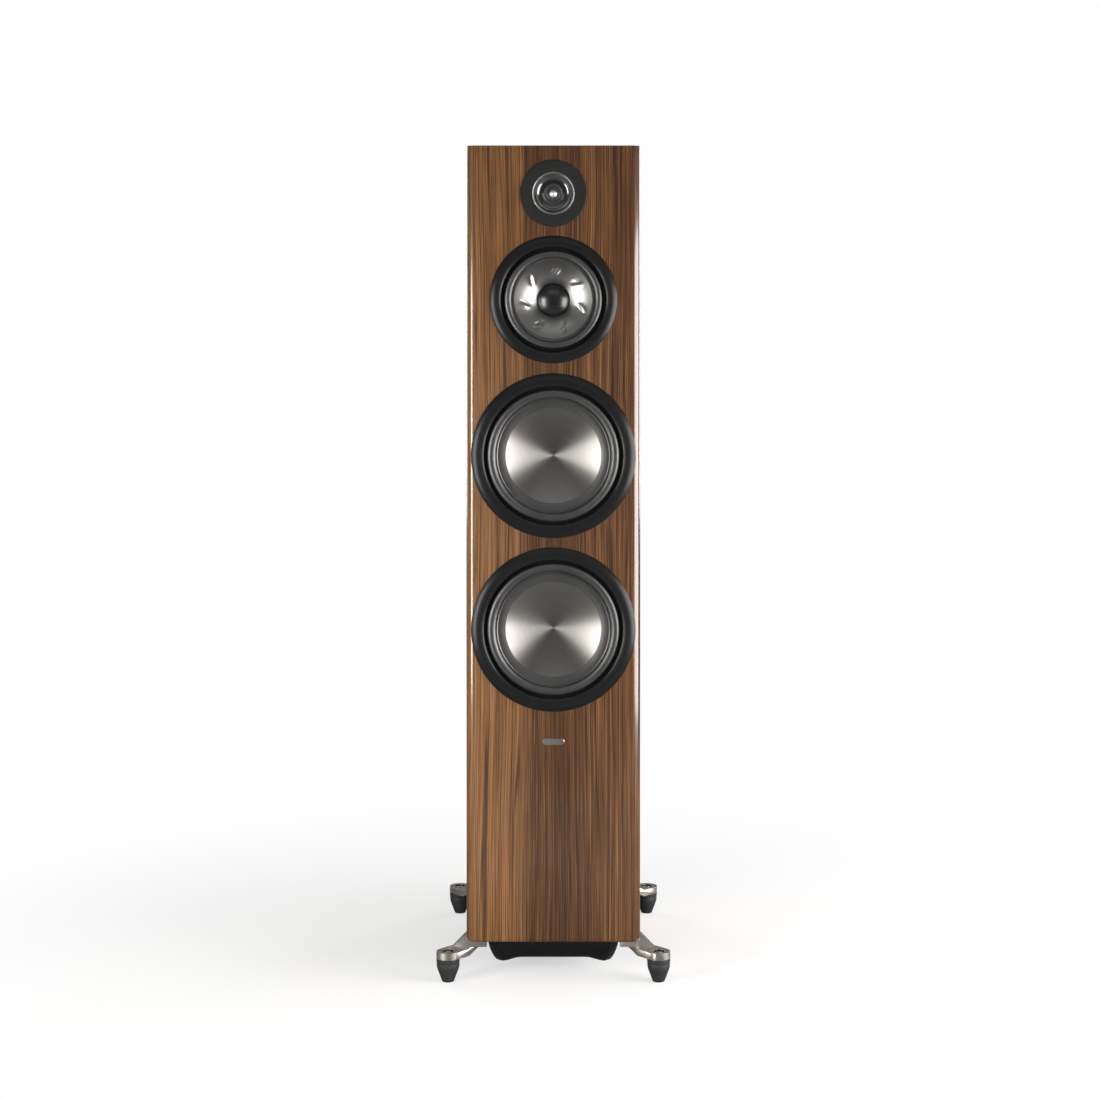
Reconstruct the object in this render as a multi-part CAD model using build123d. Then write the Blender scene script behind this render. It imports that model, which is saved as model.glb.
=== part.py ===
from build123d import *
import math
import os

# A floorstanding three-way speaker, in millimetres.
# +Z is up, the baffle faces -Y, and the origin is on the floor in the middle of the footprint.
# Left and right are as seen from the front: left is -X.
# Turned pieces are drawn as (radius, depth), where depth 0 is the baffle's front face
# and depth grows into the cabinet.

# ---- cabinet ----
cabinet_width = 244.0
cabinet_depth = 388.0
cabinet_bottom = 57.0
cabinet_top = 1172.0
baffle_thick = 25.0
wall = 18.0
front_edge_radius = 13.0
foot_x = 148.0
foot_setback = 10.0
pad_radius = 16.4
pad_proud = pad_radius - foot_setback
terminal_proud = 24.0
baffle_y = pad_proud - (pad_proud + cabinet_depth + terminal_proud) / 2
rear_y = baffle_y + cabinet_depth
middle_y = baffle_y + cabinet_depth / 2
inner_half = cabinet_width / 2 - wall
brace_thick = 12.0
brace_heights = [358.0, 617.0, 855.0]
brace_window = (136.0, 250.0)
brace_window_corner = 30.0
chamber_inner = 80.0
chamber_outer = 88.0
chamber_length = 150.0
chamber_back = 8.0

# ---- drivers: heights of their centres ----
tweeter_z = 1105.0
midrange_z = 957.0
upper_woofer_z = 739.0
lower_woofer_z = 496.0

woofer = {
    "ring_outer": 115.0,
    "ring_inner": 97.0,
    "ring_proud": 5.0,
    "flange_radius": 108.0,
    "flange_thick": 6.0,
    "hole_radius": 99.0,
    "land_radius": 88.0,
    "roll_outer": 92.5,
    "roll_inner": 80.3,
    "roll_rise": 6.5,
    "cone_radius": 80.0,
    "seat_radius": 67.2,
    "seat_depth": 6.0,
    "cap_radius": 67.0,
    "cap_sag": 14.0,
    "neck_depth": 42.0,
    "former_inner": 18.8,
    "former_outer": 19.3,
    "winding_outer": 20.3,
    "winding": (64.0, 82.0),
    "former": (40.0, 84.0),
    "spider_depth": 50.0,
    "basket_depth": 68.0,
    "basket_rear_radius": 62.0,
    "windows": 6,
    "spider_waves": 9,
    "gap_outer": 20.9,
    "pole_radius": 18.3,
    "top_plate": (56.0, 8.0),
    "magnet": (30.0, 64.0, 22.0),
    "yoke": (58.0, 9.0),
    "screws": 8,
}
midrange = {
    "ring_outer": 89.0,
    "ring_inner": 73.4,
    "ring_proud": 4.5,
    "flange_radius": 84.0,
    "flange_thick": 6.0,
    "hole_radius": 76.0,
    "land_radius": 67.0,
    "roll_outer": 71.2,
    "roll_inner": 54.9,
    "roll_rise": 7.0,
    "cone_radius": 54.6,
    "seat_radius": 22.5,
    "seat_depth": 17.0,
    "cap_radius": 22.3,
    "cap_sag": -8.0,
    "neck_depth": 24.0,
    "former_inner": 12.5,
    "former_outer": 13.0,
    "winding_outer": 13.6,
    "winding": (41.0, 52.0),
    "former": (22.0, 54.0),
    "spider_depth": 31.0,
    "basket_depth": 44.0,
    "basket_rear_radius": 40.0,
    "windows": 4,
    "spider_waves": 9,
    "gap_outer": 14.2,
    "pole_radius": 12.0,
    "top_plate": (37.0, 5.0),
    "magnet": (20.0, 42.0, 14.0),
    "yoke": (38.0, 6.0),
    "screws": 6,
}
lip_depth = 3.5
lip_thick = 1.5
cone_wall = 1.2
cap_thick = 1.0
rear_plate_thick = 6.0
spider_wave = 1.0
spider_thick = 0.8

# ---- tweeter ----
faceplate_radius = 46.5
faceplate_proud = 2.5
tweeter_body_radius = 36.0
tweeter_body_depth = 13.0
bezel_outer = 29.4
bezel_inner = 28.0
waveguide_mouth = 27.9
waveguide_throat = 15.3
waveguide_depth = 7.5
diaphragm_inner = 6.2
diaphragm_outer = 14.6
diaphragm_crest = 1.8
plug_radius = 5.4
tweeter_coil = (9.9, 10.6)
tweeter_pole = 9.4
tweeter_gap_outer = 11.2
tweeter_top_plate_size = (34.0, 4.0)
tweeter_magnet_size = (16.0, 35.0, 9.0)
tweeter_yoke_size = (34.0, 4.0)
tweeter_cup = (24.0, 27.0, 24.0)

# ---- fasteners ----
screw_head = (4.0, 3.0)
screw_shank = (2.0, 20.0)
screw_slack = 0.1

# ---- port ----
port_inner = 36.0
port_outer = 39.0
port_length = 200.0
port_flare = 10.0
housing_width = 187.0
housing_length = 320.0
housing_corner = 17.0
housing_foot_width = 163.0
housing_foot_length = 296.0
housing_foot_corner = 8.5
housing_bottom = 18.0
housing_wall = 5.0
housing_arch = 5.5
housing_arch_ramp = 24.0
housing_arch_margin = 8.0

# ---- legs ----
pad_top = 42.6
pad_bottom = 33.0
plate_bottom = 46.0
arm_angle = 47.8
slope_start = 25.3
slope_end = 53.6
arm_length = 60.0
leg_plate_inner = 94.0
leg_plate_outer = 119.0
leg_plate_setback = 17.0
leg_plate_length = 95.0
leg_screw_x = 111.0
leg_screw_setbacks = [40.0, 70.0, 100.0]
leg_screw_head = (5.3, 4.0)
leg_screw_shank = (3.0, 20.0)

# ---- feet ----
stud_radius = 4.0
stud_bore = 4.05
stud_bottom = 6.0
stud_top = 41.6
recess_radius = 8.2
recess_depth = 4.0
socket_radius = 2.4
boot_top = 32.7
boot_radius = 16.3
boot_foot_radius = 8.6

# ---- terminals and crossover ----
terminal_z = 200.0
terminal_plate_size = (116.0, 4.0, 84.0)
terminal_plate_corner = 8.0
terminal_screw_inset = 8.0
post_x = 24.0
post_radius = 3.0
post_flange = (8.5, 3.0)
post_bore = 3.05
washer_radius = 8.0
washer_thick = 1.6
cap_radius = 7.5
socket_bore = (2.0, 14.0)
board_size = (150.0, 2.0, 180.0)
board_z = 480.0
board_standoff = (4.0, 10.0)
coils = [(-40.0, 50.0, 26.0), (40.0, 50.0, 22.0), (-40.0, -50.0, 20.0)]
coil_tall = 22.0
capacitor_size = (16.0, 16.0, 46.0)
capacitor_places = [(6.0, -80.0), (28.0, -80.0), (50.0, -80.0)]
resistor_size = (54.0, 8.0, 8.0)
resistor_places = [(8.0, -20.0), (8.0, -8.0)]
badge_z = 339.0
badge_size = (31.0, 1.6, 19.0)
badge_corner = 4.0

os.makedirs("parts", exist_ok=True)


def save(node, shape):
    export_step(shape, f"parts/{node}.step")


def group(solids):
    return Compound(children=list(solids))


def block(x, y, z):
    """A box from its low and high limits on each axis."""
    size = [high - low for low, high in (x, y, z)]
    centre = [(high + low) / 2 for low, high in (x, y, z)]
    return Pos(*centre) * Box(*size)


def rod(radius, x, y, z, axis="Y"):
    """A cylinder, where the limits on its own axis give its length."""
    if axis == "Y":
        low, high = y
        return Pos(x, (low + high) / 2, z) * Rot(90, 0, 0) * Cylinder(radius, high - low)
    low, high = z
    return Pos(x, y, (low + high) / 2) * Cylinder(radius, high - low)


def turned(points, z=None):
    """A solid turned about its axis: along +Y at height z, or about Z for (radius, height)."""
    face = make_face(Polyline(*points, close=True).edges())
    if z is None:
        return revolve(Rot(90, 0, 0) * face, Axis.Z, 360)
    return Pos(0, baffle_y, z) * revolve(face, Axis.Y, 360)


def turned_shell(start, end, sag, thick, z):
    """A thin arched shell turned about the driver's axis, from one (radius, depth) to another."""
    middle = ((start[0] + end[0]) / 2, (start[1] + end[1]) / 2 + sag)
    back_start = (start[0], start[1] + thick)
    back_end = (end[0], end[1] + thick)
    back_middle = (middle[0], middle[1] + thick)
    outline = [
        ThreePointArc(start, middle, end),
        Line(end, back_end),
        ThreePointArc(back_end, back_middle, back_start),
        Line(back_start, start),
    ]
    return Pos(0, baffle_y, z) * revolve(make_face(outline), Axis.Y, 360)


def around(count, radius, z):
    """Places on a circle about a driver's axis, as (x, z)."""
    for i in range(count):
        angle = 2 * math.pi * i / count
        yield radius * math.cos(angle), z + radius * math.sin(angle)


# ---------------------------------------------------------------- cabinet

def screw_radius(d):
    return (d["flange_radius"] + d["ring_inner"]) / 2


def driver_cut(d, z):
    """The rebate, through hole and screw holes for one cone driver."""
    cut = rod(d["flange_radius"] + 0.2, 0, (baffle_y - 1, baffle_y + d["flange_thick"]), z)
    cut += rod(d["hole_radius"], 0, (baffle_y - 1, baffle_y + baffle_thick + 1), z)
    deep = baffle_y + screw_shank[1] + screw_slack
    for x, hole_z in around(d["screws"], screw_radius(d), z):
        cut += rod(screw_shank[0] + screw_slack, x, (baffle_y, deep), hole_z)
    return cut


def front_baffle():
    half = cabinet_width / 2
    body = block((-half, half), (baffle_y, baffle_y + baffle_thick), (cabinet_bottom, cabinet_top))
    upright = body.edges().filter_by(Axis.Z).group_by(Axis.Y)[0]
    body = fillet(upright, front_edge_radius)
    body -= driver_cut(woofer, upper_woofer_z)
    body -= driver_cut(woofer, lower_woofer_z)
    body -= driver_cut(midrange, midrange_z)
    body -= rod(tweeter_body_radius + 0.5, 0, (baffle_y - 1, baffle_y + baffle_thick + 1), tweeter_z)
    return body


def side_panel(sign):
    x = sorted([sign * inner_half, sign * cabinet_width / 2])
    return block(x, (baffle_y + baffle_thick, rear_y), (cabinet_bottom, cabinet_top))


def flat_panel(z):
    return block((-inner_half, inner_half), (baffle_y + baffle_thick, rear_y), z)


def leg_screw_places():
    for x in (-leg_screw_x, leg_screw_x):
        for setback in leg_screw_setbacks:
            yield x, baffle_y + setback
            yield x, rear_y - setback


def leg_screw_hole(x, y):
    top = plate_bottom + leg_screw_head[1] + leg_screw_shank[1] + 1
    return rod(leg_screw_shank[0] + 0.2, x, y, (cabinet_bottom - 1, top), "Z")


def bottom_panel():
    body = flat_panel((cabinet_bottom, cabinet_bottom + wall))
    body -= rod(port_outer + 0.1, 0, middle_y, (cabinet_bottom - 1, cabinet_bottom + wall + 1), "Z")
    return body


def side_panel_with_leg_holes(sign):
    body = side_panel(sign)
    for x, y in leg_screw_places():
        if x * sign > 0:
            body -= leg_screw_hole(x, y)
    return body


def rear_panel():
    z = (cabinet_bottom + wall, cabinet_top - wall)
    body = block((-inner_half, inner_half), (rear_y - wall, rear_y), z)
    for x in (-post_x, post_x):
        body -= rod(post_radius + 0.5, x, (rear_y - wall - 1, rear_y + 1), terminal_z)
    for x, z in terminal_screw_places():
        body -= rod(screw_shank[0] + screw_slack, x, (rear_y - wall + 1, rear_y + 1), z)
    return body


def window_braces():
    y = (baffle_y + baffle_thick, rear_y - wall)
    centre = (y[0] + y[1]) / 2
    braces = []
    for z in brace_heights:
        body = block((-inner_half, inner_half), y, (z - brace_thick / 2, z + brace_thick / 2))
        window = Pos(0, centre, z) * Box(brace_window[0], brace_window[1], brace_thick * 2)
        window = fillet(window.edges().filter_by(Axis.Z), brace_window_corner)
        braces.append(body - window)
    return group(braces)


def midrange_chamber():
    front = baffle_thick
    back = baffle_thick + chamber_length
    points = [
        (chamber_inner, front),
        (chamber_outer, front),
        (chamber_outer, back),
        (0, back),
        (0, back - chamber_back),
        (chamber_inner, back - chamber_back),
    ]
    return turned(points, midrange_z)


def badge():
    x, y, z = badge_size
    body = Pos(0, baffle_y - y / 2, badge_z) * Box(x, y, z)
    return fillet(body.edges().filter_by(Axis.Y), badge_corner)


# ---------------------------------------------------------------- cone drivers

def trim_ring(d, z):
    out = d["ring_outer"]
    inn = d["ring_inner"]
    proud = d["ring_proud"]
    points = [
        (inn, 0),
        (out, 0),
        (out, -proud + 2),
        (out - 0.8, -proud + 0.6),
        (out - 2.4, -proud),
        (inn + 2, -proud),
        (inn + 0.5, -proud + 0.6),
        (inn, -proud + 2),
    ]
    return turned(points, z)


def basket_wall_radius(d, depth):
    """Inner radius of the basket's conical wall at a depth."""
    front = d["hole_radius"] - 7
    share = (depth - d["flange_thick"]) / (d["basket_depth"] - rear_plate_thick - d["flange_thick"])
    return front + share * (d["basket_rear_radius"] - front)


def basket(d, z):
    rear = d["basket_depth"]
    shelf = rear - rear_plate_thick
    points = [
        (d["ring_inner"], 0),
        (d["flange_radius"], 0),
        (d["flange_radius"], d["flange_thick"]),
        (d["hole_radius"] - 3, d["flange_thick"]),
        (d["basket_rear_radius"] + 4, shelf),
        (d["basket_rear_radius"] + 4, rear),
        (d["gap_outer"] + 3, rear),
        (d["gap_outer"] + 3, shelf),
        (d["basket_rear_radius"], shelf),
        (d["hole_radius"] - 7, d["flange_thick"]),
        (d["land_radius"], d["flange_thick"] - 1),
        (d["land_radius"], lip_depth),
        (d["ring_inner"], lip_depth),
    ]
    body = turned(points, z)
    window_y = (baffle_y + d["flange_thick"] + 3 + shelf / 8, baffle_y + shelf - shelf / 6)
    width = 2 * math.pi * d["basket_rear_radius"] / d["windows"] * 0.72
    reach = d["hole_radius"]
    for i in range(d["windows"]):
        cut = block((d["former_outer"] + 20, reach + 20), window_y, (-width / 2, width / 2))
        body -= Pos(0, 0, z) * Rot(0, (i + 0.5) * 360 / d["windows"], 0) * cut
    for x, hole_z in around(d["screws"], screw_radius(d), z):
        body -= rod(screw_shank[0] + screw_slack, x, (baffle_y - 1, baffle_y + 10), hole_z)
        head = (baffle_y - 1, baffle_y + screw_head[1] + screw_slack)
        body -= rod(screw_head[0] + screw_slack, x, head, hole_z)
    return body


def surround(d, z):
    front = lip_depth - lip_thick
    roll = turned_shell((d["roll_inner"], front), (d["roll_outer"], front), -d["roll_rise"], lip_thick, z)
    lip_inner = d["roll_outer"] - 1
    lip_outer = d["ring_inner"] - 0.3
    lip = turned(washer_profile(lip_inner, lip_outer, front, lip_thick), z)
    return roll + lip


def cone(d, z):
    """The cone from its outer edge, past the seat of its dish or cap, to the neck on the former."""
    neck = d["former_outer"] + 0.1
    seat_back = d["seat_depth"] + cap_thick + 0.2
    edge_depth = lip_depth - 0.5
    slope = (d["neck_depth"] - seat_back) / (d["seat_radius"] - neck - cone_wall)
    lean = cone_wall * math.hypot(1, slope)
    points = [
        (d["cone_radius"], edge_depth),
        (d["seat_radius"], d["seat_depth"]),
        (d["seat_radius"], seat_back),
        (neck + cone_wall, d["neck_depth"]),
        (neck, d["neck_depth"]),
        (neck, d["neck_depth"] + lean + 2),
        (neck + cone_wall, d["neck_depth"] + lean + 2),
        (neck + cone_wall, d["neck_depth"] + lean),
        (d["seat_radius"], seat_back + lean),
        (d["cone_radius"], edge_depth + cone_wall),
    ]
    return turned(points, z)


def cap_shell(d, z):
    """The dish of a woofer or the dust cap of the midrange, seated on the cone."""
    radius = d["cap_radius"]
    rim = d["seat_depth"]
    sag = d["cap_sag"]
    sphere = (radius**2 + sag**2) / (2 * abs(sag))
    half = radius / 2
    drop = sphere - math.sqrt(sphere**2 - half**2)
    middle_depth = rim + sag - math.copysign(drop, sag)
    back = rim + cap_thick
    outline = [
        ThreePointArc((0, rim + sag), (half, middle_depth), (radius, rim)),
        Line((radius, rim), (radius, back)),
        ThreePointArc((radius, back), (half, middle_depth + cap_thick), (0, back + sag)),
        Line((0, back + sag), (0, rim + sag)),
    ]
    return Pos(0, baffle_y, z) * revolve(make_face(outline), Axis.Y, 360)


def spider(d, z):
    """A corrugated disc, from just outside the former to the basket's wall."""
    inner = d["former_outer"] + 0.4
    outer = basket_wall_radius(d, d["spider_depth"]) - 1.5
    step = (outer - inner) / d["spider_waves"]
    front = []
    for i in range(d["spider_waves"] + 1):
        front.append((inner + i * step, d["spider_depth"] + spider_wave * (-1) ** i))
    back = [(r, depth + spider_thick) for r, depth in reversed(front)]
    return turned(front + back, z)


def voice_coil(d, z):
    front, back = d["former"]
    first, last = d["winding"]
    points = [
        (d["former_inner"], front),
        (d["former_outer"], front),
        (d["former_outer"], first),
        (d["winding_outer"], first),
        (d["winding_outer"], last),
        (d["former_outer"], last),
        (d["former_outer"], back),
        (d["former_inner"], back),
    ]
    return turned(points, z)


def washer_profile(inner, outer, front, thick):
    return [(inner, front), (outer, front), (outer, front + thick), (inner, front + thick)]


def top_plate(d, z):
    outer, thick = d["top_plate"]
    return turned(washer_profile(d["gap_outer"], outer, d["basket_depth"], thick), z)


def magnet(d, z):
    inner, outer, thick = d["magnet"]
    return turned(washer_profile(inner, outer, d["basket_depth"] + d["top_plate"][1], thick), z)


def yoke(d, z):
    radius, thick = d["yoke"]
    front = d["basket_depth"]
    back = front + d["top_plate"][1] + d["magnet"][2]
    points = [
        (0, front),
        (d["pole_radius"], front),
        (d["pole_radius"], back),
        (radius, back),
        (radius, back + thick),
        (0, back + thick),
    ]
    return turned(points, z)


def driver_screw(x, z):
    head = rod(screw_head[0], x, (baffle_y, baffle_y + screw_head[1]), z)
    return head + rod(screw_shank[0], x, (baffle_y + 1, baffle_y + screw_shank[1]), z)


def terminal_screw_places():
    across = terminal_plate_size[0] / 2 - terminal_screw_inset
    up = terminal_plate_size[2] / 2 - terminal_screw_inset
    for x in (-across, across):
        for z in (-up, up):
            yield x, terminal_z + z


def wood_screws():
    solids = []
    for d, z in cone_drivers():
        solids += [driver_screw(x, place_z) for x, place_z in around(d["screws"], screw_radius(d), z)]
    outer = rear_y + terminal_plate_size[1]
    for x, z in terminal_screw_places():
        head = rod(screw_head[0], x, (outer - screw_head[1], outer), z)
        solids.append(head + rod(screw_shank[0], x, (rear_y - wall + 2, outer - 1), z))
    return group(solids)


def cone_drivers():
    return [(midrange, midrange_z), (woofer, upper_woofer_z), (woofer, lower_woofer_z)]


# ---------------------------------------------------------------- tweeter

def tweeter_faceplate():
    points = [
        (bezel_outer, -faceplate_proud),
        (faceplate_radius - 0.8, -faceplate_proud),
        (faceplate_radius, -faceplate_proud + 0.8),
        (faceplate_radius, 0),
        (tweeter_body_radius, 0),
        (tweeter_body_radius, tweeter_body_depth),
        (waveguide_throat + 2, tweeter_body_depth),
        (waveguide_throat + 2, waveguide_depth + 3),
        (bezel_outer, 1),
    ]
    return turned(points, tweeter_z)


def tweeter_bezel_ring():
    points = [
        (bezel_inner, -faceplate_proud + 0.5),
        (bezel_inner + 0.4, -faceplate_proud - 0.5),
        (bezel_outer - 0.1, -faceplate_proud - 0.5),
        (bezel_outer - 0.1, 0.5),
        (bezel_inner, 0),
    ]
    return turned(points, tweeter_z)


def tweeter_waveguide():
    """A shallow concave horn inside the bezel."""
    front_depth = -faceplate_proud + 0.6
    middle = ((waveguide_mouth + waveguide_throat) / 2 - 1.5, (front_depth + waveguide_depth) / 2 + 2)
    outline = [
        *ThreePointArc((waveguide_mouth, front_depth), middle, (waveguide_throat, waveguide_depth)).edges(),
        *Polyline(
            (waveguide_throat, waveguide_depth),
            (waveguide_throat, waveguide_depth + 2.4),
            (waveguide_mouth, 0),
            (waveguide_mouth, front_depth),
        ).edges(),
    ]
    return Pos(0, baffle_y, tweeter_z) * revolve(make_face(outline), Axis.Y, 360)


def tweeter_diaphragm():
    """A ring with two small rolls, one each side of the voice coil."""
    middle = sum(tweeter_coil) / 2
    inner = turned_shell(
        (diaphragm_inner, waveguide_depth), (middle, waveguide_depth), -diaphragm_crest, 0.5, tweeter_z
    )
    outer = turned_shell(
        (middle, waveguide_depth), (diaphragm_outer, waveguide_depth), -diaphragm_crest, 0.5, tweeter_z
    )
    return inner + outer


def tweeter_voice_coil():
    return turned(washer_profile(*tweeter_coil, waveguide_depth + 0.6, 9.4), tweeter_z)


def tweeter_phase_plug():
    points = [
        (0, -faceplate_proud + 2.5),
        (1.4, -faceplate_proud + 4.5),
        (plug_radius, waveguide_depth - 0.5),
        (plug_radius, tweeter_body_depth - 0.5),
        (0, tweeter_body_depth - 0.5),
    ]
    return turned(points, tweeter_z)


def tweeter_top_plate():
    outer, thick = tweeter_top_plate_size
    return turned(washer_profile(tweeter_gap_outer, outer, tweeter_body_depth, thick), tweeter_z)


def tweeter_magnet():
    inner, outer, thick = tweeter_magnet_size
    front = tweeter_body_depth + tweeter_top_plate_size[1]
    return turned(washer_profile(inner, outer, front, thick), tweeter_z)


def tweeter_yoke_front():
    return tweeter_body_depth + tweeter_top_plate_size[1] + tweeter_magnet_size[2]


def tweeter_yoke():
    pole_front = tweeter_body_depth - 0.5
    front = tweeter_yoke_front()
    radius, thick = tweeter_yoke_size
    points = [
        (0, pole_front),
        (tweeter_pole, pole_front),
        (tweeter_pole, front),
        (radius, front),
        (radius, front + thick),
        (0, front + thick),
    ]
    return turned(points, tweeter_z)


def tweeter_rear_cup():
    """A cup closed at the back, which covers the magnet."""
    front = tweeter_yoke_front() + tweeter_yoke_size[1]
    inner, outer, length = tweeter_cup
    back = front + length
    end_wall = outer - inner
    points = [
        (inner, front),
        (outer, front),
        (outer, back),
        (0, back),
        (0, back - end_wall),
        (inner, back - end_wall),
    ]
    return turned(points, tweeter_z)


# ---------------------------------------------------------------- port

def port_tube():
    top = cabinet_bottom + port_length
    points = [
        (port_inner, cabinet_bottom),
        (port_outer, cabinet_bottom),
        (port_outer, top - port_flare),
        (port_outer + 2, top - 4),
        (port_outer + port_flare, top - 3),
        (port_outer + port_flare, top),
        (port_inner + 3, top),
        (port_inner + 0.8, top - 3),
        (port_inner, top - port_flare),
    ]
    return Pos(0, middle_y, 0) * turned(points)


def housing_outline(width, length, corner, z):
    sketch = Pos(0, middle_y, z) * Rectangle(width, length)
    return chamfer(sketch.vertices(), corner)


def housing_solid(inset):
    """The housing's tapered outside, or its hollow where inset is the wall."""
    width, length = housing_width - 2 * inset, housing_length - 2 * inset
    foot_width, foot_length = housing_foot_width - 2 * inset, housing_foot_length - 2 * inset
    top = housing_outline(width, length, housing_corner, cabinet_bottom)
    foot = housing_outline(foot_width, foot_length, housing_foot_corner, housing_bottom)
    return loft([top, foot])


def arch_cut(span, reach):
    """A long bar whose section is a flat trapezoid: it arches the lower edge of two walls."""
    low = housing_bottom - 1
    high = housing_bottom + housing_arch
    half_low = span / 2 - housing_arch_margin
    half_high = half_low - housing_arch_ramp
    corners = [(-half_low, low), (half_low, low), (half_high, high), (-half_high, high)]
    section = Polyline(*corners, close=True)
    bar = extrude(Rot(90, 0, 0) * make_face(section.edges()), reach / 2, both=True)
    return Pos(0, middle_y, 0) * bar


def port_housing():
    body = housing_solid(0)
    below_ceiling = block(
        (-housing_width, housing_width), (-housing_length, housing_length), (0, cabinet_bottom - housing_wall)
    )
    body -= housing_solid(housing_wall) & below_ceiling
    body -= rod(port_inner, 0, middle_y, (0, cabinet_bottom + 1), "Z")
    body -= arch_cut(housing_foot_width, housing_length + 20)
    quarter_turn = Pos(0, middle_y, 0) * Rot(0, 0, 90) * Pos(0, -middle_y, 0)
    body -= quarter_turn * arch_cut(housing_foot_length, housing_width + 20)
    return body


# ---------------------------------------------------------------- legs and feet

def front_right_leg():
    """A pad over the foot, an arm that climbs to the cabinet, and a plate under its corner."""
    lean = math.radians(arm_angle)
    direction = Vector(-math.cos(lean), math.sin(lean), 0)
    foot_y = baffle_y + foot_setback
    side = Plane(origin=(foot_x, foot_y, 0), x_dir=direction, z_dir=direction.cross(Vector(0, 0, 1)))
    outline = Polyline(
        (-pad_radius, pad_bottom),
        (slope_start, pad_bottom),
        (slope_end, plate_bottom),
        (arm_length, plate_bottom),
        (arm_length, cabinet_bottom),
        (slope_end, cabinet_bottom),
        (slope_start, pad_top),
        (-pad_radius, pad_top),
        close=True,
    )
    body = extrude(side * make_face(outline.edges()), pad_radius, both=True)
    plan = Plane(origin=(foot_x, foot_y, 0), x_dir=direction, z_dir=(0, 0, 1))
    keep = plan * (Pos(0, 0, 50) * Cylinder(pad_radius, 100))
    keep += plan * (Pos(50, 0, 50) * Box(100, 2 * pad_radius, 100))
    body &= keep
    plate_y = (baffle_y + leg_plate_setback, baffle_y + leg_plate_setback + leg_plate_length)
    body += block((leg_plate_inner, leg_plate_outer), plate_y, (plate_bottom, cabinet_bottom))
    body -= rod(stud_bore, foot_x, foot_y, (0, 100), "Z")
    body -= rod(recess_radius, foot_x, foot_y, (pad_top - recess_depth, 100), "Z")
    for setback in leg_screw_setbacks:
        y = baffle_y + setback
        body -= rod(leg_screw_shank[0] + 0.2, leg_screw_x, y, (0, 100), "Z")
        body -= rod(leg_screw_head[0] + 0.2, leg_screw_x, y, (0, plate_bottom + leg_screw_head[1] + 0.2), "Z")
    return body


def four_corners(shape):
    """The front right shape and its mirror images at the other three corners."""
    middle_plane = Plane(origin=(0, middle_y, 0), z_dir=(0, 1, 0))
    right = {"front_right": shape, "rear_right": mirror(shape, about=middle_plane)}
    corners = dict(right)
    for name, solid in right.items():
        corners[name.replace("right", "left")] = mirror(solid, about=Plane.YZ)
    return corners


def leg_screws():
    solids = []
    neck = plate_bottom + leg_screw_head[1]
    for x, y in leg_screw_places():
        head = rod(leg_screw_head[0], x, y, (plate_bottom + 0.2, neck), "Z")
        solids.append(head + rod(leg_screw_shank[0], x, y, (neck - 1, neck + leg_screw_shank[1]), "Z"))
    return group(solids)


def at_foot(shape):
    return Pos(foot_x, baffle_y + foot_setback, 0) * shape


def foot_boot():
    points = [
        (0, 0),
        (boot_foot_radius - 1, 0),
        (boot_foot_radius, 0.8),
        (boot_radius - 1, 19),
        (boot_radius, 25),
        (boot_radius, boot_top),
        (stud_bore, boot_top),
        (stud_bore, stud_bottom - 0.3),
        (0, stud_bottom - 0.3),
    ]
    return at_foot(turned(points))


def foot_stud():
    body = Pos(0, 0, (stud_top + stud_bottom) / 2) * Cylinder(stud_radius, stud_top - stud_bottom)
    socket = extrude(RegularPolygon(socket_radius, 6), 8)
    return at_foot(body - Pos(0, 0, stud_top - 4) * socket)


# ---------------------------------------------------------------- terminals and crossover

def terminal_plate():
    x, y, z = terminal_plate_size
    body = Pos(0, rear_y + y / 2, terminal_z) * Box(x, y, z)
    body = fillet(body.edges().filter_by(Axis.Y), terminal_plate_corner)
    for post in (-post_x, post_x):
        body -= rod(post_radius + 0.5, post, (rear_y - 1, rear_y + y + 1), terminal_z)
    for hole_x, hole_z in terminal_screw_places():
        body -= rod(screw_shank[0] + screw_slack, hole_x, (rear_y - 1, rear_y + y + 1), hole_z)
        head = (rear_y + y - screw_head[1] - screw_slack, rear_y + y + 1)
        body -= rod(screw_head[0] + screw_slack, hole_x, head, hole_z)
    return body


def terminal_posts():
    outer = rear_y + terminal_plate_size[1]
    end = rear_y + terminal_proud
    solids = []
    for x in (-post_x, post_x):
        body = rod(post_radius, x, (rear_y - wall - 10, end), terminal_z)
        body += rod(post_flange[0], x, (outer, outer + post_flange[1]), terminal_z)
        body -= rod(socket_bore[0], x, (end - socket_bore[1], end + 1), terminal_z)
        solids.append(body)
    return group(solids)


def terminal_washer(x):
    front = rear_y + terminal_plate_size[1] + post_flange[1] + 0.2
    body = rod(washer_radius, x, (front, front + washer_thick), terminal_z)
    return body - rod(post_bore, x, (front - 1, front + washer_thick + 1), terminal_z)


def terminal_cap(x):
    front = rear_y + terminal_plate_size[1] + post_flange[1] + 0.2 + washer_thick + 0.3
    body = rod(cap_radius, x, (front, rear_y + terminal_proud), terminal_z)
    return body - rod(post_bore, x, (front - 1, rear_y + terminal_proud + 1), terminal_z)


def board_part(place, size, face):
    """A block on the board's face, with its low corner at a place measured from the board's centre."""
    low = (place[0], board_z + place[1])
    return block((low[0], low[0] + size[0]), (face - size[1], face), (low[1], low[1] + size[2]))


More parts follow.
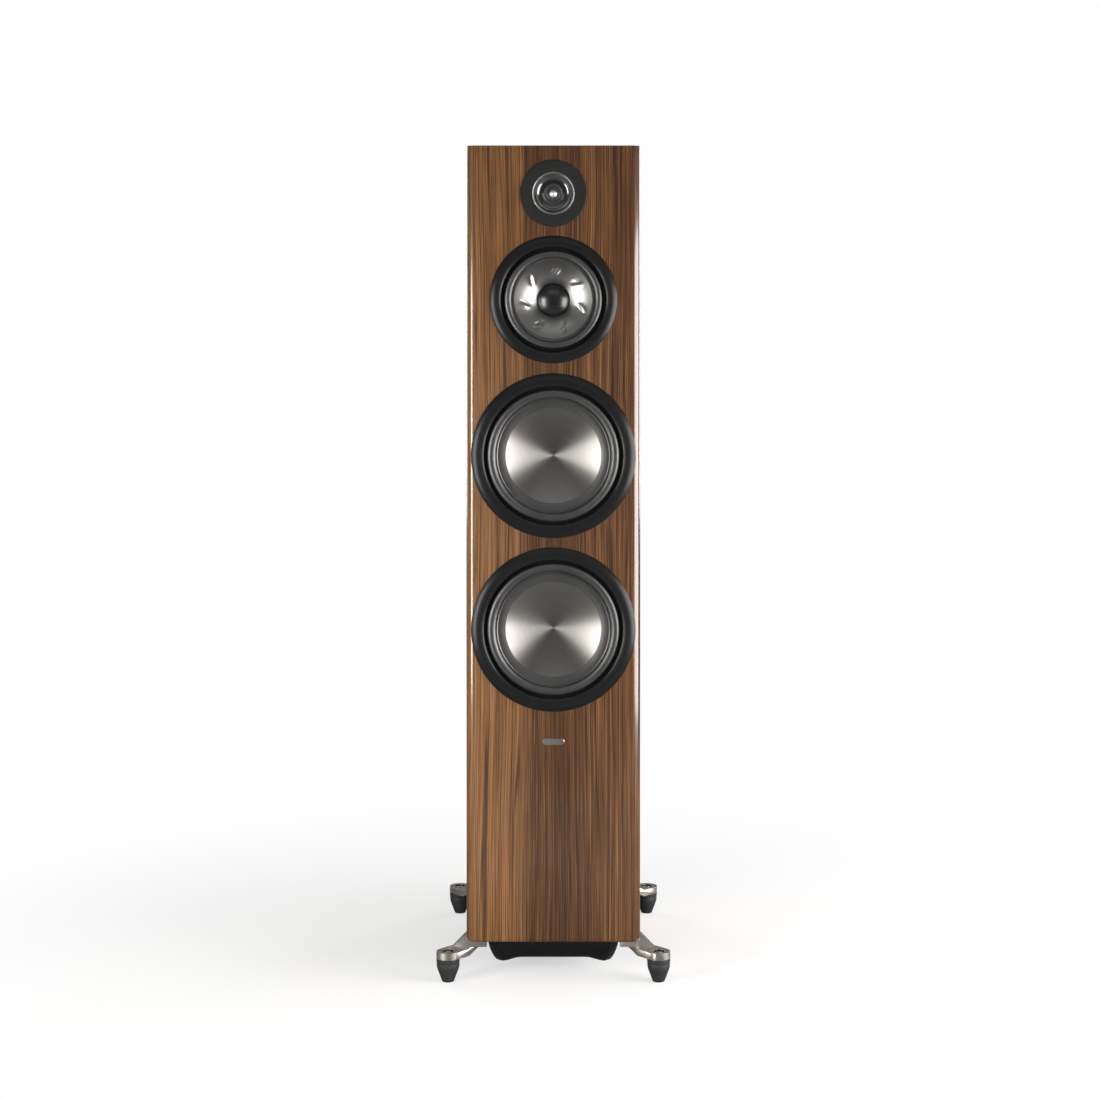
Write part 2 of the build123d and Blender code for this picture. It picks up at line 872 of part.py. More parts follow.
def crossover():
    """The board on its standoffs, with coils, capacitors and resistors."""
    back = rear_y - wall
    front = back - board_standoff[1]
    width, thick, height = board_size
    half_width, half_height = width / 2, height / 2
    face = front - thick
    solids = [block((-half_width, half_width), (face, front), (board_z - half_height, board_z + half_height))]
    for side in (-1, 1):
        for end in (-1, 1):
            x, z = side * (half_width - 8), board_z + end * (half_height - 8)
            solids.append(rod(board_standoff[0], x, (front, back), z))
    for x, z, radius in coils:
        coil = rod(radius, x, (face - coil_tall, face), board_z + z)
        solids.append(coil - rod(radius / 2, x, (face - coil_tall - 1, face + 1), board_z + z))
    solids += [board_part(place, capacitor_size, face) for place in capacitor_places]
    solids += [board_part(place, resistor_size, face) for place in resistor_places]
    return group(solids)


# ---------------------------------------------------------------- every node

save("front_baffle", front_baffle())
save("left_side_panel", side_panel_with_leg_holes(-1))
save("right_side_panel", side_panel_with_leg_holes(1))
save("top_panel", flat_panel((cabinet_top - wall, cabinet_top)))
save("bottom_panel", bottom_panel())
save("rear_panel", rear_panel())
save("window_braces", window_braces())
save("midrange_chamber", midrange_chamber())
save("badge", badge())

for name, d, z in (
    ("midrange", midrange, midrange_z),
    ("upper_woofer", woofer, upper_woofer_z),
    ("lower_woofer", woofer, lower_woofer_z),
):
    cap_name = "dust_cap" if d is midrange else "dish"
    save(f"{name}_trim_ring", trim_ring(d, z))
    save(f"{name}_basket", basket(d, z))
    save(f"{name}_surround", surround(d, z))
    save(f"{name}_cone", cone(d, z))
    save(f"{name}_{cap_name}", cap_shell(d, z))
    save(f"{name}_spider", spider(d, z))
    save(f"{name}_voice_coil", voice_coil(d, z))

save("driver_top_plates", group([tweeter_top_plate()] + [top_plate(d, z) for d, z in cone_drivers()]))
save("driver_magnets", group([tweeter_magnet()] + [magnet(d, z) for d, z in cone_drivers()]))
save("driver_yokes", group([tweeter_yoke()] + [yoke(d, z) for d, z in cone_drivers()]))
save("wood_screws", wood_screws())

save("tweeter_faceplate", tweeter_faceplate())
save("tweeter_bezel_ring", tweeter_bezel_ring())
save("tweeter_waveguide", tweeter_waveguide())
save("tweeter_diaphragm", tweeter_diaphragm())
save("tweeter_voice_coil", tweeter_voice_coil())
save("tweeter_phase_plug", tweeter_phase_plug())
save("tweeter_rear_cup", tweeter_rear_cup())

save("port_tube", port_tube())
save("port_housing", port_housing())
save("crossover_board", crossover())
save("terminal_plate", terminal_plate())
save("terminal_posts", terminal_posts())
for name, x in (("red", post_x), ("black", -post_x)):
    save(f"{name}_terminal_washer", terminal_washer(x))
    save(f"{name}_terminal_cap", terminal_cap(x))

save("outrigger_legs", group(four_corners(front_right_leg()).values()))
save("leg_screws", leg_screws())
for corner, solid in four_corners(foot_boot()).items():
    save(f"{corner}_boot", solid)
for corner, solid in four_corners(foot_stud()).items():
    save(f"{corner}_stud", solid)
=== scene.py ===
import math
from functools import partial

import bmesh
import bpy
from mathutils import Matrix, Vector


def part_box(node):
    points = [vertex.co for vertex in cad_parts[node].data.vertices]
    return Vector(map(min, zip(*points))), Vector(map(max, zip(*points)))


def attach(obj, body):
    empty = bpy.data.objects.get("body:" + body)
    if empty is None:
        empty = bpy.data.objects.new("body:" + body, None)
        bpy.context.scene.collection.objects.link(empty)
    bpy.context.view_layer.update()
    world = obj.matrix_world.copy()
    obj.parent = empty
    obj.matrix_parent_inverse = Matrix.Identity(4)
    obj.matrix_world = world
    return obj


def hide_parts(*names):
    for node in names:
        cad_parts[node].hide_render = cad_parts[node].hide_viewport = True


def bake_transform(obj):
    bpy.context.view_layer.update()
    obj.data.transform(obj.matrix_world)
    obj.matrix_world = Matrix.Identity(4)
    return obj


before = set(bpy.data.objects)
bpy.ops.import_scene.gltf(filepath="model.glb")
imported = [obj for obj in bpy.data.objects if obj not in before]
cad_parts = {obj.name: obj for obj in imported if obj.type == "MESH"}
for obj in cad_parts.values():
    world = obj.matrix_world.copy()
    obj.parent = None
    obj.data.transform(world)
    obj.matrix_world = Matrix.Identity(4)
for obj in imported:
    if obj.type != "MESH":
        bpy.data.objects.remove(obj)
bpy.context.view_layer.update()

# A floorstanding speaker. Sizes in the dictionaries are in millimetres.
# Turned pieces are drawn as (radius, depth): depth 0 is the baffle's face and grows into the cabinet.

mm = 0.001

baffleLow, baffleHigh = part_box("front_baffle")
sideLow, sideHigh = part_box("left_side_panel")
baffleY = baffleLow.y
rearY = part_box("rear_panel")[1].y
middleY = (baffleY + rearY) / 2


def centreOf(nodeName):
    low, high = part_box(nodeName)
    return (low + high) / 2


def driverCentre(nodeName):
    middle = centreOf(nodeName)
    return Vector((middle.x, baffleY, middle.z))


def linkObject(name, mesh):
    made = bpy.data.objects.new(name, mesh)
    bpy.context.scene.collection.objects.link(made)
    return made


def faceOutwards(mesh, weld=0.0):
    work = bmesh.new()
    work.from_mesh(mesh)
    if weld:
        bmesh.ops.remove_doubles(work, verts=work.verts, dist=weld)
    bmesh.ops.recalc_face_normals(work, faces=work.faces)
    work.to_mesh(mesh)
    work.free()


def meshFrom(name, vertices, faces, recalculate=True):
    mesh = bpy.data.meshes.new(name)
    mesh.from_pydata([tuple(v) for v in vertices], [], faces)
    if recalculate:
        faceOutwards(mesh, 1e-7)
    return mesh


def loftFaces(ringCount, perRing, closed=False):
    # quads from each ring of vertices to the next, and from the last to the first if closed
    faces = []
    for i in range(ringCount if closed else ringCount - 1):
        a, b = i * perRing, (i + 1) % ringCount * perRing
        for k in range(perRing):
            n = (k + 1) % perRing
            faces.append((a + k, a + n, b + n, b + k))
    return faces


def endCaps(ringCount, perRing):
    last = (ringCount - 1) * perRing
    return [tuple(range(perRing)), tuple(range(last, last + perRing))]


def turnedRod(name, rings, centre, segments):
    # a closed rod about Z, from rings of (radius, height, is it six-sided)
    vertices = []
    for radius, z, sixSided in rings:
        for k in range(segments):
            angle = 2 * math.pi * k / segments
            r = radius
            if sixSided:
                r = radius / math.cos((angle + math.pi / 6) % (math.pi / 3) - math.pi / 6)
            x, y = centre[0] + r * mm * math.cos(angle), centre[1] + r * mm * math.sin(angle)
            vertices.append((x, y, z * mm))
    faces = endCaps(len(rings), segments) + loftFaces(len(rings), segments)
    return meshFrom(name, vertices, faces)


def smoothShade(piece, angle=32):
    mesh = piece.data
    mesh.polygons.foreach_set("use_smooth", [True] * len(mesh.polygons))
    mesh.set_sharp_from_angle(angle=math.radians(angle))


def roundedProfile(points, steps=5):
    # a closed outline from (radius, depth, corner radius), with its corners rounded
    outline = []
    count = len(points)
    for i in range(count):
        here = Vector(points[i][:2])
        corner = points[i][2] if len(points[i]) > 2 else 0
        if corner <= 0:
            outline.append(here)
            continue
        before = Vector(points[i - 1][:2]) - here
        after = Vector(points[(i + 1) % count][:2]) - here
        turn = before.angle(after)
        reach = min(corner / math.tan(turn / 2), before.length * 0.49, after.length * 0.49)
        start = here + before.normalized() * reach
        end = here + after.normalized() * reach
        for k in range(steps + 1):
            t = k / steps
            outline.append(start * (1 - t) ** 2 + here * 2 * t * (1 - t) + end * t**2)
    return outline


def shellProfile(front, thick):
    # a closed outline from a front line, with a back line at one thickness behind it
    front = [Vector(p) for p in front]
    back = []
    for i, here in enumerate(front):
        along = front[min(i + 1, len(front) - 1)] - front[max(i - 1, 0)]
        along.normalize()
        normal = Vector((-along.y, along.x))
        if normal.y < 0:
            normal = -normal
        moved = here + normal * thick
        if here.x < 1e-6:
            moved.x = 0
        back.append(moved)
    return front + back[::-1]


def turnedMesh(name, outline, centre, segments=192, axis="Y"):
    # turns a closed outline about its axis; u runs round the piece and v runs along the outline
    centre = Vector(centre)

    def place(across, depth, up):
        return centre + Vector((across, depth, up) if axis == "Y" else (across, up, depth))

    vertices = []
    rings = []
    for point in outline:
        radius, depth = point[0] * mm, point[1] * mm
        first = len(vertices)
        if radius < 1e-7:
            vertices.append(place(0, depth, 0))
        else:
            for k in range(segments):
                angle = 2 * math.pi * k / segments
                vertices.append(place(radius * math.cos(angle), depth, radius * math.sin(angle)))
        rings.append(range(first, len(vertices)))
    faces = []
    corners = []
    count = len(rings)
    for i in range(count):
        a, b = rings[i], rings[(i + 1) % count]
        va, vb = i / count, (i + 1) / count
        if len(a) == 1 and len(b) == 1:
            continue
        for k in range(segments):
            n = (k + 1) % segments
            u, un = k / segments, (k + 1) / segments
            if len(a) == 1:
                faces.append((a[0], b[n], b[k]))
                corners.append(((u, va), (un, vb), (u, vb)))
            elif len(b) == 1:
                faces.append((a[k], a[n], b[0]))
                corners.append(((u, va), (un, va), (u, vb)))
            else:
                faces.append((a[k], a[n], b[n], b[k]))
                corners.append(((u, va), (un, va), (un, vb), (u, vb)))
    mesh = meshFrom(name, vertices, faces, False)
    layer = mesh.uv_layers.new(name="turn")
    layer.data.foreach_set("uv", [value for corner in corners for pair in corner for value in pair])
    faceOutwards(mesh)
    return mesh


def turnedPiece(name, outline, centre, material, segments=192, axis="Y", angle=32):
    piece = linkObject(name, turnedMesh(name, outline, centre, segments, axis))
    piece.data.materials.append(material)
    smoothShade(piece, angle)
    return piece


def applyModifiers(piece):
    graph = bpy.context.evaluated_depsgraph_get()
    final = bpy.data.meshes.new_from_object(piece.evaluated_get(graph))
    old = piece.data
    piece.modifiers.clear()
    piece.data = final
    bpy.data.meshes.remove(old)
    return piece


def placePiece(piece, body, slotName, *nodes):
    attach(piece, body)
    if nodes:
        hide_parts(*nodes)
    return piece


def turnedPart(name, outline, centre, material, body, slotName, node, segments=192, **more):
    piece = turnedPiece(name, outline, centre, material, segments, **more)
    return placePiece(piece, body, slotName, node)


def boxMesh(name, low, high):
    vertices = [(x, y, z) for x in (low[0], high[0]) for y in (low[1], high[1]) for z in (low[2], high[2])]
    faces = [(0, 1, 3, 2), (4, 6, 7, 5), (0, 4, 5, 1), (2, 3, 7, 6), (0, 2, 6, 4), (1, 5, 7, 3)]
    return meshFrom(name, vertices, faces)


def dropObject(item):
    mesh = item.data
    bpy.data.objects.remove(item)
    bpy.data.meshes.remove(mesh)


def cutWith(piece, mesh):
    cutter = linkObject("cutter", mesh)
    cut = piece.modifiers.new("cut", "BOOLEAN")
    cut.operation = "DIFFERENCE"
    cut.solver = "EXACT"
    cut.object = cutter
    applyModifiers(piece)
    dropObject(cutter)


def bevelledCopy(name, nodeName, width, segments=3, angle=38):
    # a copy of a CAD node's mesh, with its triangles joined into faces and its edges rounded
    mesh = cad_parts[nodeName].data.copy()
    work = bmesh.new()
    work.from_mesh(mesh)
    bmesh.ops.remove_doubles(work, verts=work.verts, dist=2e-6)
    bmesh.ops.dissolve_limit(work, angle_limit=math.radians(1.5), verts=work.verts, edges=work.edges)
    work.to_mesh(mesh)
    work.free()
    piece = linkObject(name, mesh)
    mesh.materials.clear()
    bevel = piece.modifiers.new("edges", "BEVEL")
    bevel.width = width * mm
    bevel.segments = segments
    bevel.limit_method = "ANGLE"
    bevel.angle_limit = math.radians(angle)
    bevel.use_clamp_overlap = True
    even = piece.modifiers.new("normals", "WEIGHTED_NORMAL")
    even.weight = 100
    return applyModifiers(piece)


def addNode(tree, kind, settings=None, inputs=None):
    made = tree.nodes.new(kind)
    for key, value in (settings or {}).items():
        setattr(made, key, value)
    for key, value in (inputs or {}).items():
        if isinstance(value, bpy.types.NodeSocket):
            tree.links.new(value, made.inputs[key])
        else:
            made.inputs[key].default_value = value
    return made


def mathNode(tree, operation, a, b=0.0, c=0.0):
    return addNode(tree, "ShaderNodeMath", {"operation": operation}, {0: a, 1: b, 2: c}).outputs[0]


def splitXYZ(tree, vector):
    return addNode(tree, "ShaderNodeSeparateXYZ", None, {0: vector}).outputs


def joinXYZ(tree, x=0.0, y=0.0, z=0.0):
    return addNode(tree, "ShaderNodeCombineXYZ", None, {0: x, 1: y, 2: z}).outputs[0]


def newMaterial(name, settings):
    material = bpy.data.materials.new(name)
    material.use_nodes = True
    shader = material.node_tree.nodes["Principled BSDF"]
    for key, value in settings.items():
        shader.inputs[key].default_value = value
    return material, material.node_tree, shader


def objectPoint(tree, centre=(0, 0, 0), scale=(1, 1, 1)):
    coordinates = addNode(tree, "ShaderNodeTexCoord")
    start = [-c * s for c, s in zip(centre, scale)]
    inputs = {"Vector": coordinates.outputs["Object"], "Location": start, "Scale": scale}
    return addNode(tree, "ShaderNodeMapping", {"vector_type": "POINT"}, inputs).outputs[0]


def noiseOf(tree, vector, scale, detail=3.0, roughness=0.55):
    inputs = {"Vector": vector, "Scale": scale, "Detail": detail, "Roughness": roughness}
    return addNode(tree, "ShaderNodeTexNoise", None, inputs).outputs["Fac"]


def rampOf(tree, factor, stops):
    stops = list(stops)
    made = addNode(tree, "ShaderNodeValToRGB", None, {"Fac": factor})
    elements = made.color_ramp.elements
    while len(elements) < len(stops):
        elements.new(0.5)
    for element, (position, color) in zip(elements, stops):
        element.position = position
        element.color = (*color, 1) if len(color) == 3 else color
    return made.outputs["Color"]


def rangeOf(tree, value, low, high, newLow, newHigh):
    inputs = {"Value": value, "From Min": low, "From Max": high, "To Min": newLow, "To Max": newHigh}
    return addNode(tree, "ShaderNodeMapRange", None, inputs).outputs["Result"]


def mixColor(tree, factor, a, b, blend="MIX"):
    made = addNode(tree, "ShaderNodeMix", {"data_type": "RGBA", "blend_type": blend})
    for key, value in ((0, factor), (6, a), (7, b)):
        if isinstance(value, bpy.types.NodeSocket):
            tree.links.new(value, made.inputs[key])
        else:
            made.inputs[key].default_value = value
    return made.outputs[2]


def bumpOf(tree, height, strength, distance):
    inputs = {"Height": height, "Strength": strength, "Distance": distance}
    return addNode(tree, "ShaderNodeBump", None, inputs).outputs["Normal"]


def wire(tree, shader, color, roughness, normal):
    for socket, value in (("Base Color", color), ("Roughness", roughness), ("Normal", normal)):
        tree.links.new(value, shader.inputs[socket])


def speckledMaterial(
    name, settings, color, darker, roughness, grain=900, strength=0.15, height=0.0002, blotch=30
):
    # paint, rubber or a casting: fine grain in the bump, slow blotches in colour and roughness
    material, tree, shader = newMaterial(name, settings)
    point = objectPoint(tree)
    fine = noiseOf(tree, point, grain, 4)
    slow = noiseOf(tree, point, blotch, 3)
    tint = rampOf(tree, slow, [(0.3, darker), (0.7, color)])
    wire(tree, shader, tint, rangeOf(tree, slow, 0.3, 0.7, *roughness), bumpOf(tree, fine, strength, height))
    return material


def spunMetal(name, centre, settings, color, darker, roughness, lines, strength, shade=None):
    # metal brushed in circles about a driver's axis, with painted shade inside the shade radii: the colour
    # darkens towards the axis there
    material, tree, shader = newMaterial(name, {"Anisotropic Rotation": 0.25, **settings})
    do = partial(mathNode, tree)
    x, y, z = splitXYZ(tree, objectPoint(tree, centre))
    radius = do("SQRT", do("ADD", do("MULTIPLY", x, x), do("MULTIPLY", z, z)))
    turn = do("MULTIPLY", do("ARCTAN2", z, x), 0.0008)
    circles = joinXYZ(tree, radius, turn)
    fine = noiseOf(tree, circles, lines, 4, 0.7)
    broad = noiseOf(tree, circles, lines / 9, 3, 0.6)
    tint = rampOf(tree, broad, [(0.3, darker), (0.7, color)])
    # painted shade: inside these radii the colour is pulled towards dark grey, standing in for the dark cap's
    # reflection in the cone
    if shade:
        tint = mixColor(tree, rangeOf(tree, radius, *shade, 0.75, 0.0), tint, (0.05, 0.05, 0.05, 1))
    polish = rangeOf(tree, fine, 0.25, 0.75, *roughness)
    wire(tree, shader, tint, polish, bumpOf(tree, fine, strength, 0.00006))
    around = addNode(tree, "ShaderNodeTangent", {"direction_type": "UV_MAP", "uv_map": "turn"})
    tree.links.new(around.outputs[0], shader.inputs["Tangent"])
    return material


print("materials")

walnut = {
    "leafWidth": 0.0815,
    "leafStart": 0.0415,
    "sideStart": 0.117,
    "leafContrast": 0.13,
    "dark": (0.026, 0.010, 0.0045),
    "middle": (0.102, 0.043, 0.0150),
    "light": (0.258, 0.124, 0.046),
    "tones": (0.385, 0.49, 0.62),
    "line": (0.016, 0.006, 0.003),
    "lineShare": 0.75,
    "lineWidth": 0.013,
    "drift": 0.020,
    "roughness": (0.26, 0.36),
    "shader": {"Specular IOR Level": 0.3, "Coat Weight": 1.0, "Coat Roughness": 0.12, "Coat IOR": 1.7},
}
# layers of noise: scale across the grain, scale along it, detail, roughness
grainLayers = {
    "slow": (14, 0.7, 1, 0.5),
    "bands": (60, 0.5, 2, 0.5),
    "streaks": (330, 1.0, 3, 0.6),
    "fine": (950, 1.6, 2, 0.55),
    "fibres": (1500, 9, 2, 0.6),
    "bend": (9, 2.0, 1, 0.5),
    "lines": (62, 0.45, 2, 0.5),
}
grainContrast = {"slow": 0.08, "bands": 0.12, "streaks": 0.11, "fine": 0.36, "fibres": 0.44}


def walnutMaterial():
    material, tree, shader = newMaterial("walnutVeneer", walnut["shader"])
    do = partial(mathNode, tree)
    coordinates = addNode(tree, "ShaderNodeTexCoord")
    x, y, z = splitXYZ(tree, coordinates.outputs["Object"])
    facing = splitXYZ(tree, coordinates.outputs["Normal"])
    isTop = do("GREATER_THAN", do("ABSOLUTE", facing[2]), 0.75)
    isSide = do("GREATER_THAN", do("ABSOLUTE", facing[0]), 0.93)

    def choose(factor, a, b):
        return addNode(tree, "ShaderNodeMix", {"data_type": "FLOAT"}, {0: factor, 2: a, 3: b}).outputs[0]

    # across runs over the leaves; along follows the grain, which lies front to back on the top
    across = choose(isTop, choose(isSide, x, do("ADD", y, walnut["sideStart"])), x)
    along = choose(isTop, z, y)
    # each leaf of each face has its own tone and its own place in the noise
    sheet = do("ADD", do("MULTIPLY", isSide, 3.7), do("MULTIPLY", isTop, 7.3))
    leaf = do("FLOOR", do("DIVIDE", do("ADD", across, walnut["leafStart"]), walnut["leafWidth"]))
    turn = do("SUBTRACT", do("MULTIPLY", do("ADD", leaf, sheet), 1.5), 0.6)
    leafTone = do("MULTIPLY", do("COSINE", turn), -1.0)
    shift = do("ADD", do("MULTIPLY", leaf, 5.37), sheet)

    def grain(run, name):
        acrossScale, alongScale, detail, roughness = grainLayers[name]
        vector = joinXYZ(tree, do("MULTIPLY", run, acrossScale), do("MULTIPLY", along, alongScale), shift)
        return noiseOf(tree, vector, 1.0, detail, roughness)

    # the grain lines drift sideways along the board, as round a slow curve
    bend = do("SUBTRACT", grain(across, "bend"), 0.5)
    run = do("ADD", across, do("MULTIPLY", bend, walnut["drift"]))
    layers = {name: grain(run, name) for name in grainContrast}
    tone = do("MULTIPLY", leafTone, walnut["leafContrast"] / 2)
    for name, contrast in grainContrast.items():
        tone = do("MULTIPLY_ADD", do("SUBTRACT", layers[name], 0.5), contrast, tone)
    tone = do("ADD", tone, 0.5)
    color = rampOf(tree, tone, zip(walnut["tones"], (walnut["dark"], walnut["middle"], walnut["light"])))
    # thin dark lines lie where a slow noise crosses its middle
    fromMiddle = do("ABSOLUTE", do("SUBTRACT", grain(run, "lines"), 0.5))
    isLine = rangeOf(tree, fromMiddle, 0.0, walnut["lineWidth"], walnut["lineShare"], 0.0)
    color = mixColor(tree, isLine, color, (*walnut["line"], 1))
    roughness = rangeOf(tree, layers["streaks"], 0.3, 0.7, *walnut["roughness"])
    wire(tree, shader, color, roughness, bumpOf(tree, layers["fibres"], 0.12, 0.00008))
    return material


midCentre = driverCentre("midrange_trim_ring")
upperCentre = driverCentre("upper_woofer_trim_ring")
lowerCentre = driverCentre("lower_woofer_trim_ring")
tweeterCentre = driverCentre("tweeter_faceplate")

walnutVeneer = walnutMaterial()


def grey(level):
    return (level, level, level)


# name: shader settings, colour, darker colour, roughness, grain, bump, bump height, blotch scale
speckled = {
    "rawFibreboard": ({}, (0.42, 0.30, 0.18), (0.34, 0.24, 0.14), (0.8, 0.92), 1400, 0.3),
    "blackUnderside": ({}, grey(0.012), grey(0.008), (0.55, 0.7), 1200, 0.3),
    "surroundRubber": (
        {"Specular IOR Level": 1.0, "Coat Weight": 0.6, "Coat Roughness": 0.44, "Coat IOR": 1.7},
        grey(0.011), grey(0.008), (0.38, 0.46), 2200, 0.06,
    ),
    # painted shade for the groove round each roll, darker and duller than the rubber itself
    "paintedGrooveShade": ({"Specular IOR Level": 0.1}, grey(0.003), grey(0.002), (0.7, 0.8), 2200, 0.06),
    "blackCone": (
        {"Specular IOR Level": 1.0, "Coat Weight": 1.0, "Coat Roughness": 0.36, "Coat IOR": 1.55},
        grey(0.020), grey(0.015), (0.30, 0.38), 1800, 0.06,
    ),
    "dustCapBlack": ({"Specular IOR Level": 0.9}, grey(0.007), grey(0.005), (0.24, 0.30), 2600, 0.05),
    "faceplatePaint": (
        {"Specular IOR Level": 0.25}, (0.0125, 0.0125, 0.0122), (0.0105, 0.0105, 0.0102),
        (0.5, 0.6), 3200, 0.2,
    ),
    "glossBlack": (
        {"Coat Weight": 1.0, "Coat Roughness": 0.06}, grey(0.004), grey(0.003), (0.12, 0.2), 500, 0.02,
    ),
    "waveguideBlack": (
        {"Specular IOR Level": 1.0, "Coat Weight": 1.0, "Coat Roughness": 0.06, "Coat IOR": 1.9},
        (0.010, 0.010, 0.0105), (0.008, 0.008, 0.0085), (0.18, 0.24), 700, 0.02,
    ),
    "ringDiaphragm": (
        {"Specular IOR Level": 0.7}, (0.035, 0.035, 0.037), (0.028, 0.028, 0.03), (0.2, 0.28), 2500, 0.05,
    ),
    "mouldedBlack": ({}, (0.02, 0.02, 0.021), (0.014, 0.014, 0.015), (0.45, 0.6), 1300, 0.25),
    "bootRubber": (
        {"Specular IOR Level": 0.45}, (0.032, 0.032, 0.033), (0.024, 0.024, 0.025), (0.48, 0.6), 1500, 0.25,
    ),
    "castNickel": (
        {"Metallic": 1.0}, (0.80, 0.765, 0.70), (0.74, 0.705, 0.64), (0.32, 0.42), 2600, 0.22, 0.00008, 60,
    ),
    # the recess over each stud: partly unpolished casting, partly painted shade
    "unpolishedRecessShade": ({"Metallic": 0.6}, (0.045, 0.043, 0.04), (0.03, 0.029, 0.027), (0.4, 0.55), 2200, 0.3),
    "zincSteel": (
        {"Metallic": 1.0}, (0.66, 0.66, 0.67), (0.55, 0.55, 0.56), (0.2, 0.32), 1200, 0.08, 0.0001,
    ),
    "blackOxide": (
        {"Metallic": 1.0}, (0.075, 0.075, 0.08), (0.05, 0.05, 0.052), (0.3, 0.42), 1500, 0.1, 0.0001,
    ),
    "satinPlug": (
        {"Metallic": 1.0}, (0.95, 0.95, 0.955), (0.90, 0.90, 0.905), (0.46, 0.54), 900, 0.02, 0.00005,
    ),
    "satinChrome": (
        {"Metallic": 1.0}, (0.88, 0.88, 0.885), (0.82, 0.82, 0.825), (0.26, 0.34), 900, 0.02, 0.00005,
    ),
    "goldPlate": (
        {"Metallic": 1.0}, (0.88, 0.62, 0.26), (0.80, 0.55, 0.22), (0.14, 0.22), 900, 0.04, 0.00005,
    ),
    "redInsulator": ({"Coat Weight": 0.4}, (0.5, 0.012, 0.012), (0.4, 0.01, 0.01), (0.2, 0.3), 900, 0.05),
    "blackInsulator": ({"Coat Weight": 0.4}, grey(0.015), grey(0.01), (0.2, 0.3), 900, 0.05),
    "ferrite": ({}, (0.07, 0.07, 0.072), (0.045, 0.045, 0.047), (0.6, 0.75), 700, 0.4),
    "basketCasting": ({"Metallic": 0.4}, (0.03, 0.03, 0.031), (0.02, 0.02, 0.021), (0.45, 0.6), 900, 0.4),
    "spiderCloth": ({"Sheen Weight": 0.3}, (0.42, 0.29, 0.11), (0.33, 0.22, 0.08), (0.8, 0.9), 2600, 0.6),
    "coilCopper": ({"Metallic": 1.0}, (0.72, 0.36, 0.20), (0.6, 0.28, 0.15), (0.3, 0.4), 1800, 0.2),
    "boardGreen": ({"Coat Weight": 0.3}, (0.02, 0.11, 0.045), (0.015, 0.08, 0.03), (0.4, 0.5), 600, 0.15),
    "terminalPlateMetal": (
        {"Metallic": 1.0, "Anisotropic": 0.3}, (0.56, 0.555, 0.55), (0.50, 0.495, 0.49),
        (0.3, 0.4), 1800, 0.15, 0.00008,
    ),
    "badgeMetal": (
        {"Metallic": 1.0}, (0.50, 0.48, 0.455), (0.44, 0.42, 0.40), (0.36, 0.46), 2400, 0.15, 0.00006,
    ),
}
paint = {name: speckledMaterial(name, *values) for name, values in speckled.items()}

# shader settings, colour, darker colour, roughness, circles, bump, radii of painted shade
spun = {
    "dish": (
        {"Metallic": 1.0, "Anisotropic": 0.75}, (0.435, 0.426, 0.412), (0.395, 0.386, 0.372),
        (0.34, 0.42), 2600, 0.2,
    ),
    # the cone's last pair are the radii of its painted shade round the dust cap
    "cone": (
        {"Metallic": 1.0, "Anisotropic": 0.5}, (0.44, 0.44, 0.436), (0.40, 0.40, 0.396),
        (0.30, 0.38), 2200, 0.08, (0.023, 0.032),
    ),
    "ring": (
        {"Specular IOR Level": 0.35, "Anisotropic": 0.5}, (0.0075, 0.008, 0.0085), (0.006, 0.0065, 0.007),
        (0.28, 0.36), 2400, 0.15,
    ),
}


print("cabinet")

cabinet = {
    "frontCorner": 13.0,
    "rearCorner": 2.0,
    "topEdge": 1.4,
    "bottomEdge": 4.0,
    "wall": 18.0,
    "baffleThick": 25.0,
    "wooferRebate": 108.2,
    "wooferHole": 99.0,
    "midRebate": 84.2,
    "midHole": 76.0,
    "rebateDepth": 6.0,
    "tweeterHole": 36.6,
    "portHole": 39.2,
    "cutStart": -3.0,
    "cutEnd": 27.0,
    "portCutEnd": 25.0,
}
sliver = 0.0001


def cabinetPlan(inset):
    # the cabinet's outline seen from above, moved inwards by inset
    half = -sideLow.x - inset
    front, back = baffleY + inset, rearY - inset
    corners = [
        (half, front, cabinet["frontCorner"], -90, 14),
        (half, back, cabinet["rearCorner"], 0, 4),
        (-half, back, cabinet["rearCorner"], 90, 4),
        (-half, front, cabinet["frontCorner"], 180, 14),
    ]
    points = []
    for x, y, corner, first, steps in corners:
        radius = max(corner * mm - inset, 0.0002)
        centreX = x - math.copysign(radius, x)
        centreY = y + radius if y < middleY else y - radius
        for k in range(steps + 1):
            angle = math.radians(first + 90 * k / steps)
            points.append((centreX + radius * math.cos(angle), centreY + radius * math.sin(angle)))
    return points


def shellMesh():
    low, high = baffleLow.z, baffleHigh.z
    levels = []
    for edge, start, sign in ((cabinet["bottomEdge"] * mm, low, 1), (cabinet["topEdge"] * mm, high, -1)):
        arc = [math.radians(15 * k) for k in range(7)]
        rounded = [(start + sign * edge * (1 - math.cos(a)), edge * (1 - math.sin(a))) for a in arc]
        levels += rounded if sign > 0 else rounded[::-1]
    vertices = [(x, y, z) for z, inset in levels for x, y in cabinetPlan(inset)]
    count = len(vertices) // len(levels)
    bottom, top = endCaps(len(levels), count)
    return meshFrom("cabinetShell", vertices, loftFaces(len(levels), count) + [bottom[::-1], top])


